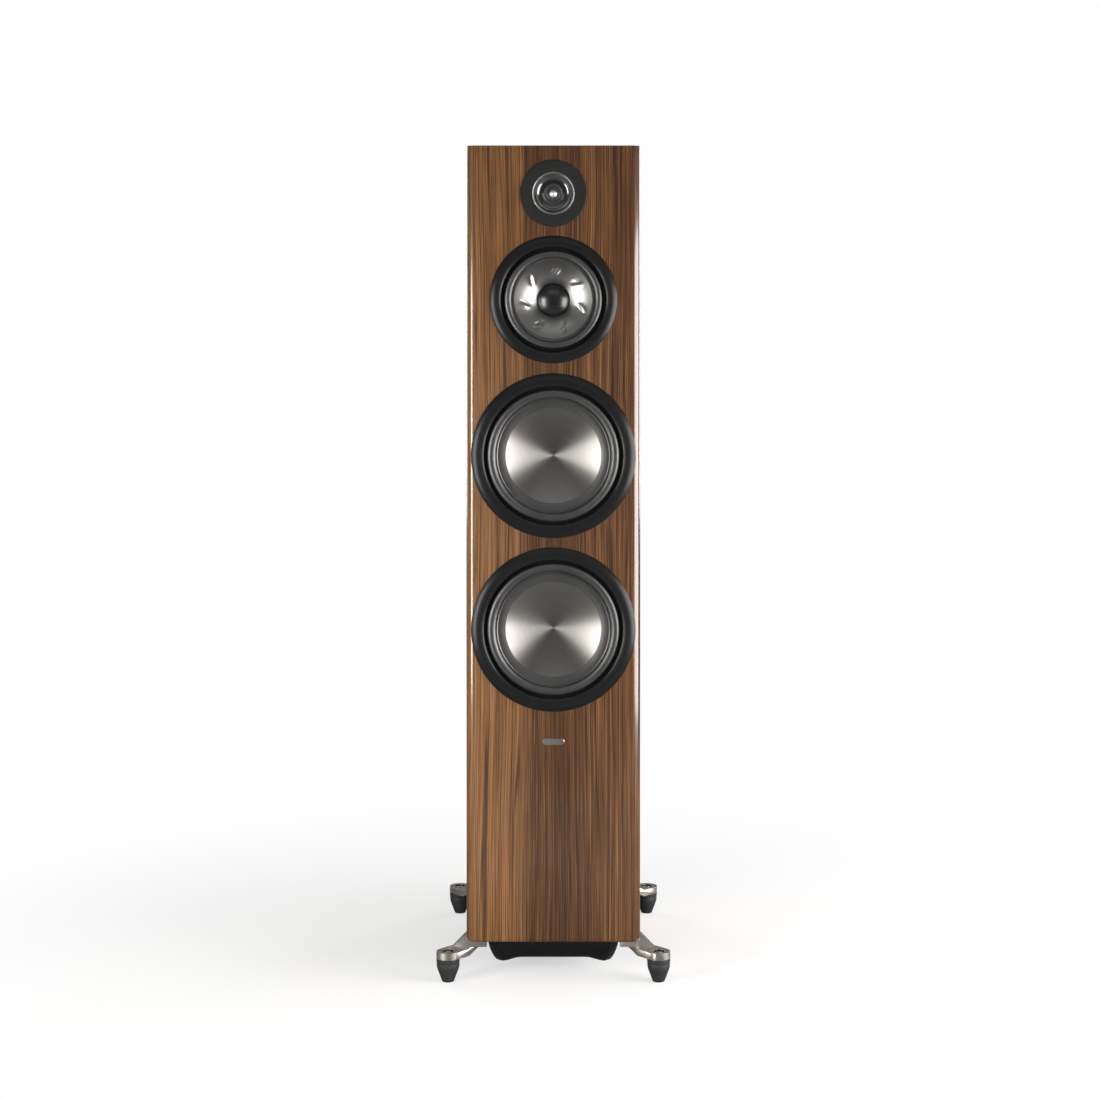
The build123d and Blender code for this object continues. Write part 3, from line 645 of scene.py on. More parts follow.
def cutOpenings(piece):
    # the inside, a stepped hole for each cone driver, and plain holes for the tweeter and the port
    low, high, wall = baffleLow.z, baffleHigh.z, cabinet["wall"] * mm
    inside = (sideHigh.x, baffleY + cabinet["baffleThick"] * mm, low + wall)
    cutWith(piece, boxMesh("inside", inside, (-sideHigh.x, rearY - wall, high - wall)))
    start, deep, depth = cabinet["cutStart"], cabinet["cutEnd"], cabinet["rebateDepth"]
    for centre, kind in ((upperCentre, "woofer"), (lowerCentre, "woofer"), (midCentre, "mid")):
        wide, narrow = cabinet[f"{kind}Rebate"], cabinet[f"{kind}Hole"]
        outline = [(0, start), (wide, start), (wide, depth), (narrow, depth), (narrow, deep), (0, deep)]
        cutWith(piece, turnedMesh("hole", outline, centre, 96))
    for key, centre, axis, end in (
        ("tweeterHole", tweeterCentre, "Y", deep),
        ("portHole", (0, middleY, low), "Z", cabinet["portCutEnd"]),
    ):
        outline = [(0, start), (cabinet[key], start), (cabinet[key], end), (0, end)]
        cutWith(piece, turnedMesh("hole", outline, centre, 96, axis))


def cabinetShell():
    piece = linkObject("cabinetShell", shellMesh())
    cutOpenings(piece)
    mesh = piece.data
    for material in (walnutVeneer, paint["rawFibreboard"], paint["blackUnderside"]):
        mesh.materials.append(material)
    floorLevel = baffleLow.z + cabinet["bottomEdge"] * mm + sliver
    roofLevel = baffleHigh.z - cabinet["topEdge"] * mm - sliver
    for face in mesh.polygons:
        x, y, z = face.center
        within = abs(x) < -sideHigh.x + sliver and baffleY + sliver < y < rearY - sliver
        if z < baffleLow.z + sliver and face.normal.z < -0.9:
            face.material_index = 2
        elif within and floorLevel < z < roofLevel:
            face.material_index = 1
    smoothShade(piece, 25)
    nodes = ["front_baffle", "left_side_panel", "right_side_panel", "top_panel", "bottom_panel", "rear_panel"]
    return placePiece(piece, "root", "walnut_veneer", *nodes)


cabinetShell()


print("drivers")

wooferShape = {
    "ringOuter": 115.0,
    "ringInner": 97.0,
    "ringProud": 5.0,
    "ringCrown": 0.42,
    "lipOuter": 96.6,
    "rollOuter": 92.8,
    "rollInner": 80.6,
    "lipInner": 77.6,
    "rollRise": 5.2,
    "rollBase": 2.2,
    "rubber": 0.8,
    "coneEdge": (80.0, 3.2),
    "coneSeat": (67.3, 6.0),
    "coneNeck": (20.6, 42.0),
    "coneBow": 0.5,
    "coneWall": 1.0,
    "dishRadius": 67.0,
    "dishRim": 5.8,
    "dishSag": 14.0,
    "dishWall": 0.9,
}
midShape = {
    "ringOuter": 89.0,
    "ringInner": 73.4,
    "ringProud": 4.5,
    "ringCrown": 0.42,
    "lipOuter": 73.1,
    "rollOuter": 68.6,
    "rollInner": 58.6,
    "lipInner": 54.2,
    "rollRise": 4.4,
    "rollBase": 2.2,
    "rubber": 0.8,
    "coneEdge": (54.6, 3.2),
    "coneSeat": (22.5, 17.0),
    "coneNeck": (14.4, 24.0),
    "coneBow": 2.4,
    "coneWall": 1.0,
    "capRadius": 22.3,
    "capRim": 17.0,
    "capRise": 8.5,
    "capWall": 0.9,
}


def ringOutline(shape):
    # a domed ring: long slope outwards from its crown, short slope down to its inner edge
    outer, inner, proud = shape["ringOuter"], shape["ringInner"], shape["ringProud"]
    crown = inner + shape["ringCrown"] * (outer - inner)
    edge, drop, steps = 0.8, 3.0, 16
    line = [(inner, 0), (outer - 0.3, 0), (outer, -0.3), (outer, -edge)]
    for k in range(1, steps + 1):
        t = k / steps
        rise = (proud - edge) * math.sin(t * math.pi / 2) ** 0.85
        line.append((outer + (crown - outer) * t, -edge - rise))
    for k in range(1, steps + 1):
        angle = k / steps * math.pi / 2
        line.append((crown + (inner - crown) * math.sin(angle), -proud + drop * (1 - math.cos(angle))))
    return line


def trimRing(name, shape, centre):
    material = spunMetal(f"{name.split('_')[0]}RingBlack", centre, *spun["ring"])
    turnedPart(
        f"{name}_spun_ring", ringOutline(shape), centre, material, "root", "satin_black_ring",
        f"{name}_trim_ring", 256,
    )


def surroundLine(shape):
    # the rubber's front line: outer lip, bead, groove, roll, step and inner lip
    base = shape["rollBase"]
    line = [(shape["lipOuter"], base), (shape["lipOuter"] - 0.9, base - 0.3)]
    outer, inner = shape["rollOuter"], shape["rollInner"]
    line += [(outer + 1.6, base - 0.3), (outer + 0.7, base + 0.1), (outer + 0.1, base + 0.2)]
    middle, half = (outer + inner) / 2, (outer - inner) / 2
    steps = 22
    for k in range(1, steps):
        angle = math.pi * k / steps
        line.append((middle + half * math.cos(angle), base - shape["rollRise"] * math.sin(angle) ** 0.9))
    line += [(inner - 0.1, base + 0.2), (inner - 0.8, base + 0.1), (inner - 1.4, base - 0.2)]
    line += [(shape["lipInner"] + 0.4, base + 0.3), (shape["lipInner"], base + 0.8)]
    return line


def radialBlend(piece, centre, shape):
    # works out each vertex's share of the way from the roll's outer edge to its inner edge; the share is not
    # stored
    for vertex in piece.data.vertices:
        offset = vertex.co - centre
        radius = math.hypot(offset.x, offset.z) / mm
        share = (shape["rollOuter"] - radius) / (shape["rollOuter"] - shape["rollInner"])
        share = min(max(share, 0.0), 1.0)


def surroundPiece(name, centre, shape):
    outline = shellProfile(surroundLine(shape), shape["rubber"])
    piece = turnedPiece(f"{name}_surround_rubber", outline, centre, paint["surroundRubber"], angle=40)
    # the groove outside the roll gets painted shade: a near-black matt material where the gap under the trim
    # ring is dark
    piece.data.materials.append(paint["paintedGrooveShade"])
    for face in piece.data.polygons:
        offset = face.center - centre
        if math.hypot(offset.x, offset.z) > (shape["rollOuter"] - 0.2) * mm:
            face.material_index = 1
    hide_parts(f"{name}_surround")
    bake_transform(piece)
    radialBlend(piece, centre, shape)
    return piece


def coneOutline(shape, curve):
    # from the outer edge to the seat and on to the neck; curve bows the visible part forwards
    edge, seat, neck = shape["coneEdge"], shape["coneSeat"], shape["coneNeck"]
    ledge, steps, neckSteps = 1.3, 24, 8
    line = []
    for k in range(steps + 1):
        t = k / steps
        radius = edge[0] + (seat[0] - edge[0]) * t
        line.append((radius, edge[1] + (seat[1] - edge[1]) * t - curve * math.sin(math.pi * t)))
    line.append((seat[0] - 0.05, seat[1] + ledge))
    for k in range(1, neckSteps + 1):
        t = k / neckSteps
        radius = neck[0] + (seat[0] - neck[0]) * (1 - t)
        line.append((radius, seat[1] + ledge + (neck[1] - seat[1] - ledge) * k / neckSteps))
    return shellProfile(line, shape["coneWall"])


def capLine(radius, rim, sag, steps=26):
    sphere = (radius**2 + sag**2) / (2 * abs(sag))
    line = []
    for k in range(steps + 1):
        r = radius * (1 - k / steps)
        drop = sphere - math.sqrt(sphere**2 - r**2)
        line.append((r, rim + sag - math.copysign(drop, sag)))
    return line


def wooferPieces(name, centre):
    body = f"{name}_diaphragm"
    trimRing(name, wooferShape, centre)
    surroundPiece(name, centre, wooferShape)
    outline = coneOutline(wooferShape, wooferShape["coneBow"])
    turnedPart(f"{name}_black_cone", outline, centre, paint["blackCone"], body, "black_cone", f"{name}_cone")
    line = capLine(wooferShape["dishRadius"], wooferShape["dishRim"], wooferShape["dishSag"])
    outline = shellProfile(line, wooferShape["dishWall"])
    material = spunMetal(f"{name.split('_')[0]}DishMetal", centre, *spun["dish"])
    turnedPart(f"{name}_spun_dish", outline, centre, material, body, "brushed_dish", f"{name}_dish", 256)


wooferPieces("upper_woofer", upperCentre)
wooferPieces("lower_woofer", lowerCentre)


print("midrange")

swirl = {
    "count": 7,
    "radius": 40.0,
    "firstAngle": 34.0,
    "tilt": 38.0,
    "length": 5.8,
    "width": 3.2,
    "height": 1.7,
    "endSharpness": 2.6,
    "gain": 1.6,
}


def startTree(name, sockets):
    # a Geometry Nodes tree with named inputs, each given as (name, kind, default if any)
    tree = bpy.data.node_groups.new(name, "GeometryNodeTree")
    for label, kind, *default in sockets:
        socket = tree.interface.new_socket(label, in_out="INPUT", socket_type=f"NodeSocket{kind}")
        if default:
            socket.default_value = default[0]
    tree.interface.new_socket("Geometry", in_out="OUTPUT", socket_type="NodeSocketGeometry")
    return tree, tree.nodes.new("NodeGroupInput").outputs


def endTree(tree, geometry, material):
    real = addNode(tree, "GeometryNodeRealizeInstances", None, {"Geometry": geometry})
    inputs = {"Geometry": real.outputs[0], "Material": material}
    painted = addNode(tree, "GeometryNodeSetMaterial", None, inputs)
    out = tree.nodes.new("NodeGroupOutput")
    tree.links.new(painted.outputs[0], out.inputs[0])
    return tree


def growWith(piece, name, tree, values):
    # the modifier's inputs are set by each socket's identifier, and its result is kept as a mesh
    modifier = piece.modifiers.new(name, "NODES")
    modifier.node_group = tree
    for item in tree.interface.items_tree:
        if item.item_type == "SOCKET" and item.in_out == "INPUT" and item.name in values:
            modifier[item.identifier] = values[item.name]
    return applyModifiers(piece)


def swirlTree():
    # pushes a cone's surface into slanted dimples, evenly spaced about the driver's axis
    tree, given = startTree("swirlDimples", [
        ("Geometry", "Geometry"),
        ("Centre", "Vector"),
        ("Count", "Int", 7),
        ("Radius", "Float", 0.04),
        ("First angle", "Float", 0.6),
        ("Tilt", "Float", 0.66),
        ("Length", "Float", 0.008),
        ("Width", "Float", 0.003),
        ("Height", "Float", 0.002),
        ("Material", "Material"),
    ])
    do = partial(mathNode, tree)
    position = addNode(tree, "GeometryNodeInputPosition").outputs[0]
    inputs = {0: position, 1: given["Centre"]}
    offset = addNode(tree, "ShaderNodeVectorMath", {"operation": "SUBTRACT"}, inputs).outputs[0]
    x, y, z = splitXYZ(tree, offset)
    radius = do("SQRT", do("ADD", do("MULTIPLY", x, x), do("MULTIPLY", z, z)))
    angle = do("SUBTRACT", do("ARCTAN2", z, x), given["First angle"])
    sector = do("DIVIDE", 2 * math.pi, given["Count"])
    phase = do("SUBTRACT", do("FRACT", do("ADD", do("DIVIDE", angle, sector), 0.5)), 0.5)
    local = do("MULTIPLY", phase, sector)
    # u runs along a dimple and v across it, both as shares of its size
    outward = do("SUBTRACT", do("MULTIPLY", radius, do("COSINE", local)), given["Radius"])
    sideways = do("MULTIPLY", do("MULTIPLY", radius, do("SINE", local)), -1.0)
    cosTilt, sinTilt = do("COSINE", given["Tilt"]), do("SINE", given["Tilt"])
    u = do("ADD", do("MULTIPLY", outward, cosTilt), do("MULTIPLY", sideways, sinTilt))
    v = do("SUBTRACT", do("MULTIPLY", sideways, cosTilt), do("MULTIPLY", outward, sinTilt))
    u = do("DIVIDE", u, given["Length"])
    v = do("DIVIDE", v, given["Width"])
    fall = do("ADD", do("POWER", do("ABSOLUTE", u), swirl["endSharpness"]), do("MULTIPLY", v, v))
    bell = do("EXPONENT", do("MULTIPLY", fall, -1.0))
    push = do("MULTIPLY", do("MULTIPLY", do("MULTIPLY", v, bell), given["Height"]), swirl["gain"])
    inputs = {"Geometry": given["Geometry"], "Offset": joinXYZ(tree, y=push)}
    moved = addNode(tree, "GeometryNodeSetPosition", None, inputs)
    return endTree(tree, moved.outputs[0], given["Material"])


def midrangePieces():
    body = "midrange_diaphragm"
    trimRing("midrange", midShape, midCentre)
    surroundPiece("midrange", midCentre, midShape)
    coneSilver = spunMetal("coneSilver", midCentre, *spun["cone"])
    outline = coneOutline(midShape, midShape["coneBow"])
    cone = turnedPiece("midrange_swirl_cone", outline, midCentre, coneSilver, 360, angle=60)
    growWith(cone, "swirl", swirlTree(), {
        "Centre": tuple(midCentre),
        "Count": swirl["count"],
        "Radius": swirl["radius"] * mm,
        "First angle": math.radians(swirl["firstAngle"]),
        "Tilt": math.radians(swirl["tilt"]),
        "Length": swirl["length"] * mm,
        "Width": swirl["width"] * mm,
        "Height": swirl["height"] * mm,
        "Material": coneSilver,
    })
    placePiece(cone, body, "silver_cone", "midrange_cone")
    line = capLine(midShape["capRadius"], midShape["capRim"], -midShape["capRise"], 20)
    outline = shellProfile(line, midShape["capWall"])
    turnedPart(
        "midrange_domed_cap", outline, midCentre, paint["dustCapBlack"], body, "dust_cap_black",
        "midrange_dust_cap", 128,
    )


midrangePieces()


print("tweeter")

tweeter = {
    "plate": [
        (29.6, -2.3, 0.2), (45.8, -2.5, 0.6), (46.5, -1.6, 0.4), (46.5, 0, 0), (36.0, 0, 0),
        (36.0, 13.0, 0), (17.4, 13.0, 0), (17.4, 10.5, 0), (29.6, 1.2, 0),
    ],
    "bezel": [
        (28.0, -1.6, 0.2), (28.4, -3.0, 0.35), (29.3, -3.0, 0.35), (29.5, -2.0, 0.1), (29.5, 0.6, 0),
        (28.0, 0.2, 0),
    ],
    "hornMouth": (27.9, -1.7),
    "hornThroat": (15.4, 7.2),
    "hornBow": 2.6,
    "hornWall": 0.8,
    "filmInner": 6.2,
    "filmOuter": 14.8,
    "filmDepth": 7.2,
    "filmRise": 1.9,
    "filmWall": 0.35,
    "plugTip": 0.0,
    "plugFlare": 3.2,
    "plugRadius": 5.4,
    "plugEnd": 12.4,
}


def hornLine():
    mouth, throat = tweeter["hornMouth"], tweeter["hornThroat"]
    steps = 20
    line = []
    for k in range(steps + 1):
        t = k / steps
        radius = mouth[0] + (throat[0] - mouth[0]) * t
        depth = mouth[1] + (throat[1] - mouth[1]) * t + tweeter["hornBow"] * math.sin(math.pi * t) ** 1.2
        line.append((radius, depth))
    return line + [(throat[0] - 0.4, throat[1] - 0.5), (throat[0] - 0.9, throat[1] - 0.1)]


def filmLine():
    # two rolls side by side, with the coil's line between them
    inner, outer, base = tweeter["filmInner"], tweeter["filmOuter"], tweeter["filmDepth"]
    middle = (inner + outer) / 2
    steps = 12
    line = []
    for low, high in ((inner, middle), (middle, outer)):
        for k in range(steps + 1):
            angle = math.pi * k / steps
            radius = (low + high) / 2 - (high - low) / 2 * math.cos(angle)
            line.append((radius, base - tweeter["filmRise"] * math.sin(angle)))
    return line[::-1]


def plugLine():
    tip, radius, end = tweeter["plugTip"], tweeter["plugRadius"], tweeter["plugEnd"]
    steps = 12
    line = [(0, tip), (0.5, tip + 0.25)]
    for k in range(1, steps + 1):
        t = k / steps
        line.append((0.5 + (radius - 0.7) * t, tip + 0.25 + tweeter["plugFlare"] * t**1.3))
    return line + [(radius, line[-1][1] + 0.5), (radius, end), (0, end)]


def tweeterPieces():
    # piece, outline, paint, body, slot, node, segments, smoothing angle
    plate, bezel = roundedProfile(tweeter["plate"], 4), roundedProfile(tweeter["bezel"], 4)
    horn = shellProfile(hornLine(), tweeter["hornWall"])
    film = shellProfile(filmLine(), tweeter["filmWall"])
    for name, outline, material, body, slotName, node, segments, angle in (
        ("matte_plate", plate, "faceplatePaint", "root", "matte_faceplate", "faceplate", 192, 32),
        ("bright_bezel", bezel, "satinChrome", "root", "polished_chrome", "bezel_ring", 192, 32),
        ("gloss_waveguide", horn, "waveguideBlack", "root", "gloss_black_plastic", "waveguide", 192, 50),
        ("ring_film", film, "ringDiaphragm", "tweeter_ring", "dark_film", "diaphragm", 160, 50),
        ("pointed_plug", plugLine(), "satinPlug", "root", "polished_chrome", "phase_plug", 96, 50),
    ):
        turnedPart(
            f"tweeter_{name}", outline, tweeterCentre, paint[material], body, slotName, f"tweeter_{node}",
            segments, angle=angle,
        )


tweeterPieces()


print("badge")

badge = {"width": 31.0, "height": 9.0, "thick": 1.5, "edge": 0.5}


def badgePiece():
    # a plain lozenge of metal, with no lettering
    centre = centreOf("badge")
    vertices = []
    levels = [(0.0, 0.0), (badge["thick"] - badge["edge"], 0.0), (badge["thick"], badge["edge"])]
    count = 48
    radius = badge["height"] / 2
    straight = badge["width"] / 2 - radius
    for depth, inset in levels:
        for k in range(count):
            angle = 2 * math.pi * (k + 0.5) / count
            side = math.copysign(straight, math.cos(angle))
            x = side + (radius - inset) * math.cos(angle)
            z = (radius - inset) * math.sin(angle)
            vertices.append((centre.x + x * mm, baffleY - depth * mm, centre.z + z * mm))
    faces = endCaps(len(levels), count) + loftFaces(len(levels), count)
    piece = linkObject("badge_lozenge", meshFrom("badge_lozenge", vertices, faces))
    piece.data.materials.append(paint["badgeMetal"])
    smoothShade(piece)
    placePiece(piece, "root", "badge_metal", "badge")


badgePiece()


print("legs and feet")

legs = {"edge": 0.6, "segments": 2, "recessRadius": 8.3, "recessTop": 42.3}
bootShape = [
    (0, 0), (7.0, 0), (8.0, 0.25), (8.6, 0.9), (9.2, 2.6), (12.0, 10.0), (14.6, 17.0), (15.5, 19.8),
    (15.9, 22.0), (16.0, 25.6), (15.9, 26.2), (15.2, 26.6), (15.2, 27.2), (16.1, 27.6), (16.3, 28.2),
    (16.3, 32.1), (15.8, 32.6), (4.1, 32.6), (4.1, 5.7), (0, 5.7),
]
stud = {
    "radius": 3.98,
    "top": 41.6,
    "bottom": 6.0,
    "pitch": 1.25,
    "threadDepth": 0.35,
    "threadEnd": 1.4,
    "socket": 2.4,
    "socketDepth": 3.5,
}


def studRings():
    # a threaded rod whose top has a six-sided socket
    radius, level, top, socket = stud["radius"], stud["bottom"], stud["top"], stud["socket"]
    rings = [(radius - 0.5, level, False)]
    level += 0.5
    while level < top - stud["threadEnd"]:
        rings.append((radius, level, False))
        rings.append((radius, level + stud["pitch"] * 0.35, False))
        rings.append((radius - stud["threadDepth"], level + stud["pitch"] * 0.65, False))
        level += stud["pitch"]
    rings += [(radius, top - 0.9, False), (radius, top - 0.5, False), (radius - 0.5, top, False)]
    rings += [(socket + 0.25, top, True), (socket, top - 0.25, True)]
    return rings + [(socket, top - stud["socketDepth"], True)]


def legsAndFeet():
    piece = bevelledCopy("cast_legs", "outrigger_legs", legs["edge"], legs["segments"])
    corners = [f"{end}_{side}" for end in ("front", "rear") for side in ("left", "right")]
    middles = {corner: centreOf(f"{corner}_boot") for corner in corners}
    for material in ("castNickel", "unpolishedRecessShade"):
        piece.data.materials.append(paint[material])
    # the recess over each stud is darkened: partly an unpolished finish, partly painted shade for the shadow
    # inside it
    for face in piece.data.polygons:
        x, y, z = face.center
        near = min(math.hypot(x - middle.x, y - middle.y) for middle in middles.values())
        if near < legs["recessRadius"] * mm and z < legs["recessTop"] * mm and face.normal.z > -0.5:
            face.material_index = 1
    smoothShade(piece, 30)
    placePiece(piece, "root", "cast_nickel", "outrigger_legs")
    for corner, middle in middles.items():
        foot = (middle.x, middle.y, 0)
        turnedPart(
            f"{corner}_rubber_boot", bootShape, foot, paint["bootRubber"], f"{corner}_boot", "boot_rubber",
            f"{corner}_boot", 96, axis="Z", angle=40,
        )
        name = f"{corner}_threaded_stud"
        rod = linkObject(name, turnedRod(name, studRings(), foot, 72))
        rod.data.materials.append(paint["zincSteel"])
        smoothShade(rod, 28)
        placePiece(rod, f"{corner}_stud", "zinc_steel", f"{corner}_stud")


legsAndFeet()


print("port")

port = {
    "topWidth": 187.0,
    "topLength": 320.0,
    "topCorner": 17.0,
    "footWidth": 163.0,
    "footLength": 296.0,
    "footCorner": 8.5,
    "bottom": 18.0,
    "arch": 5.5,
    "archRamp": 26.0,
    "archStart": 8.0,
    "cornerReach": 12.0,
    "bow": 7.0,
    "wall": 4.5,
    "lip": 1.6,
    "mouth": [(52.0, 4.5), (44.0, 3.7), (39.0, 2.5), (36.0, 0.0)],
}


def portRing(width, length, corner, perSide=20):
    # points round a rectangle with cut corners, the same number on each side
    x, y = width / 2, length / 2
    turns = [
        (x - corner, -y), (x, -y + corner), (x, y - corner), (x - corner, y),
        (-x + corner, y), (-x, y - corner), (-x, -y + corner), (-x + corner, -y),
    ]
    points = []
    for i in range(8):
        a, b = Vector(turns[i]), Vector(turns[(i + 1) % 8])
        steps = 4 if i % 2 == 0 else perSide
        for k in range(steps):
            points.append(a.lerp(b, k / steps))
    return points


def archLift(point, width, length):
    # how far the lower edge rises at a point, nothing near the corners
    gaps = (width / 2 - abs(point.x), length / 2 - abs(point.y))
    if min(gaps) >= port["cornerReach"]:
        return port["arch"]
    share = min(max((max(gaps) - port["archStart"]) / port["archRamp"], 0.0), 1.0)
    return port["arch"] * share * share * (3 - 2 * share)


def portHousing():
    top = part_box("port_housing")[1].z / mm
    wall, lip = port["wall"], port["lip"] * 0.5
    steps = 8
    # down the outside, round the lower lip and up the inside
    levels = [(k / steps, 0.0, False) for k in range(steps + 1)]
    levels += [(1.0, lip, True), (1.0, wall - lip, True)]
    levels += [(1 - k / steps, wall, False) for k in range(steps + 1)]
    rings = []
    for t, inset, isLip in levels:
        bow = port["bow"] * math.sin(math.pi * t) ** 0.8
        width = port["topWidth"] + (port["footWidth"] - port["topWidth"]) * t + bow - 2 * inset
        length = port["topLength"] + (port["footLength"] - port["topLength"]) * t + bow - 2 * inset
        corner = port["topCorner"] + (port["footCorner"] - port["topCorner"]) * t
        ring = []
        for point in portRing(width, length, max(corner - inset * 0.5, 1.5)):
            bottom = port["bottom"] + archLift(point, width, length)
            ceiling = top if inset < wall else top - wall
            z = ceiling + (bottom - ceiling) * t + (0.6 if not isLip and t == 1.0 else 0.0)
            ring.append((point.x * mm, middleY + point.y * mm, z * mm))
        rings.append(ring)
    # the ceiling closes in on the port's mouth with a rounded flare
    angles = [math.atan2(p[1] - middleY, p[0]) for p in rings[-1]]
    for mouth, below in port["mouth"]:
        radius, z = mouth * mm, (top - below) * mm
        rings.append([(radius * math.cos(a), middleY + radius * math.sin(a), z) for a in angles])
    vertices = [point for ring in rings for point in ring]
    faces = loftFaces(len(rings), len(rings[0]), True)
    piece = linkObject("port_gloss_housing", meshFrom("port_gloss_housing", vertices, faces))
    piece.data.materials.append(paint["glossBlack"])
    smoothShade(piece, 55)
    placePiece(piece, "root", "gloss_black_plastic", "port_housing")


portHousing()


print("terminals and screws")

terminal = {
    "plateEdge": 0.6,
    "postEdge": 0.3,
    "capRadius": 6.9,
    "capRibs": 36,
    "ribSize": 0.62,
    "ribStart": 1.0,
    "ribGap": 6.4,
    "bore": 3.05,
    "washerRadius": 8.0,
    "screwInset": 8.0,
    "screwSink": 0.4,
}
# centre, count, radius
driverScrews = [(midCentre, 6, 78.7), (upperCentre, 8, 102.5), (lowerCentre, 8, 102.5)]
driverScrewSink = 0.2
legScrews = {"across": 111.0, "setbacks": (40.0, 70.0, 100.0), "top": 46.3}
screwShape = {"head": 4.0, "headHigh": 2.6, "socket": 2.1, "socketDeep": 1.6, "shank": 2.0, "long": 20.0}
legScrewShape = {"head": 5.3, "headHigh": 3.8, "socket": 3.0, "socketDeep": 2.2, "shank": 3.0, "long": 24.0}


def screwRings(shape):
    # a screw with its head's top at the origin, pointing down -Z, with a six-sided socket
    head, shank, deep = shape["head"], shape["shank"], shape["headHigh"]
    return [
        (0.05, -shape["long"], False),
        (shank * 0.9, -shape["long"] + 2.5, False),
        (shank, -deep - 0.4, False),
        (head - 0.3, -deep, False),
        (head, -deep + 0.3, False),
        (head, -0.5, False),
        (head - 0.5, -0.02, False),
        (shape["socket"], 0.0, True),
        (shape["socket"], -shape["socketDeep"], True),
    ]


def partsOnPointsTree():
    # puts a copy of one part on every point of a mesh, each spun by its own angle
    tree, given = startTree("partsOnPoints", [
        ("Points", "Geometry"),
        ("Part", "Object"),
        ("Rotation", "Vector"),
        ("Turn spread", "Float", 0.0),
        ("Seed", "Int", 3),
        ("Material", "Material"),
    ])
    part = addNode(tree, "GeometryNodeObjectInfo", {"transform_space": "ORIGINAL"}, {"Object": given["Part"]})
    inputs = {2: 0.0, 3: given["Turn spread"], "Seed": given["Seed"]}
    turn = addNode(tree, "FunctionNodeRandomValue", {"data_type": "FLOAT"}, inputs)
    spin = joinXYZ(tree, z=turn.outputs[1])
    inputs = {"Points": given["Points"], "Instance": part.outputs["Geometry"], "Rotation": given["Rotation"]}
    placed = addNode(tree, "GeometryNodeInstanceOnPoints", None, inputs)
    inputs = {"Instances": placed.outputs[0], "Rotation": spin}
    turned = addNode(tree, "GeometryNodeRotateInstances", None, inputs)
    return endTree(tree, turned.outputs[0], given["Material"])


def ringOfRibsTree():
    # straight ribs side by side round a cylinder that lies along Y
    tree, given = startTree("ringOfRibs", [
        ("Body", "Geometry"),
        ("Count", "Int", 36),
        ("Radius", "Float", 0.007),
        ("Rib radius", "Float", 0.0006),
        ("Length", "Float", 0.01),
        ("Centre", "Vector"),
        ("Material", "Material"),
    ])
    inputs = {"Vertices": given["Count"], "Radius": given["Radius"]}
    circle = addNode(tree, "GeometryNodeMeshCircle", None, inputs)
    inputs = {"Vertices": 6, "Radius": given["Rib radius"], "Depth": given["Length"]}
    rib = addNode(tree, "GeometryNodeMeshCylinder", None, inputs)
    inputs = {"Points": circle.outputs[0], "Instance": rib.outputs[0]}
    placed = addNode(tree, "GeometryNodeInstanceOnPoints", None, inputs)
    inputs = {"Geometry": placed.outputs[0], "Translation": given["Centre"], "Rotation": (math.pi / 2, 0, 0)}
    laid = addNode(tree, "GeometryNodeTransform", None, inputs)
    joined = addNode(tree, "GeometryNodeJoinGeometry")
    tree.links.new(laid.outputs[0], joined.inputs[0])
    tree.links.new(given["Body"], joined.inputs[0])
    return endTree(tree, joined.outputs[0], given["Material"])


partsOnPoints = partsOnPointsTree()
ringOfRibs = ringOfRibsTree()


def scatterScrews(name, points, shape, rotation, seed, *nodes):
    part = linkObject(f"{name}_one", turnedRod(f"{name}_one", screwRings(shape), (0, 0), 24))
    piece = linkObject(name, meshFrom(name, points, [], False))
    growWith(piece, "screws", partsOnPoints, {
        "Part": part,
        "Rotation": rotation,
        "Turn spread": math.pi / 3,
        "Seed": seed,
        "Material": paint["blackOxide"],
    })
    dropObject(part)
    smoothShade(piece, 30)
    placePiece(piece, "root", "black_oxide_steel", *nodes)


def driverScrewPoints():
    points = []
    for centre, count, radius in driverScrews:
        for k in range(count):
            angle = 2 * math.pi * k / count
            across, up = radius * mm * math.cos(angle), radius * mm * math.sin(angle)
            points.append((centre.x + across, baffleY + driverScrewSink * mm, centre.z + up))
    return points


def terminalCap(colour, centre, bore):
    low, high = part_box(f"{colour}_terminal_cap")
    start, end, outer = low.y / mm, high.y / mm, terminal["capRadius"]
    outline = [
        (bore, start, 0), (outer, start, 0.4), (outer, end - 4.2, 0), (outer - 0.5, end - 4.0, 0),
        (outer - 0.5, end - 3.5, 0), (outer, end - 3.3, 0), (outer, end, 0.7), (bore, end, 0.4),
    ]
    gold = paint["goldPlate"]
    cap = turnedPiece(f"{colour}_knurled_cap", roundedProfile(outline, 3), centre, gold, 72, angle=30)
    long = end - start - terminal["ribGap"]
    growWith(cap, "ribs", ringOfRibs, {
        "Count": terminal["capRibs"],
        "Radius": outer * mm,
        "Rib radius": terminal["ribSize"] * mm,
        "Length": long * mm,
        "Centre": (centre[0], (start + terminal["ribStart"] + long / 2) * mm, centre[2]),
        "Material": gold,
    })
    placePiece(cap, f"{colour}_cap", "gold_plate", f"{colour}_terminal_cap")


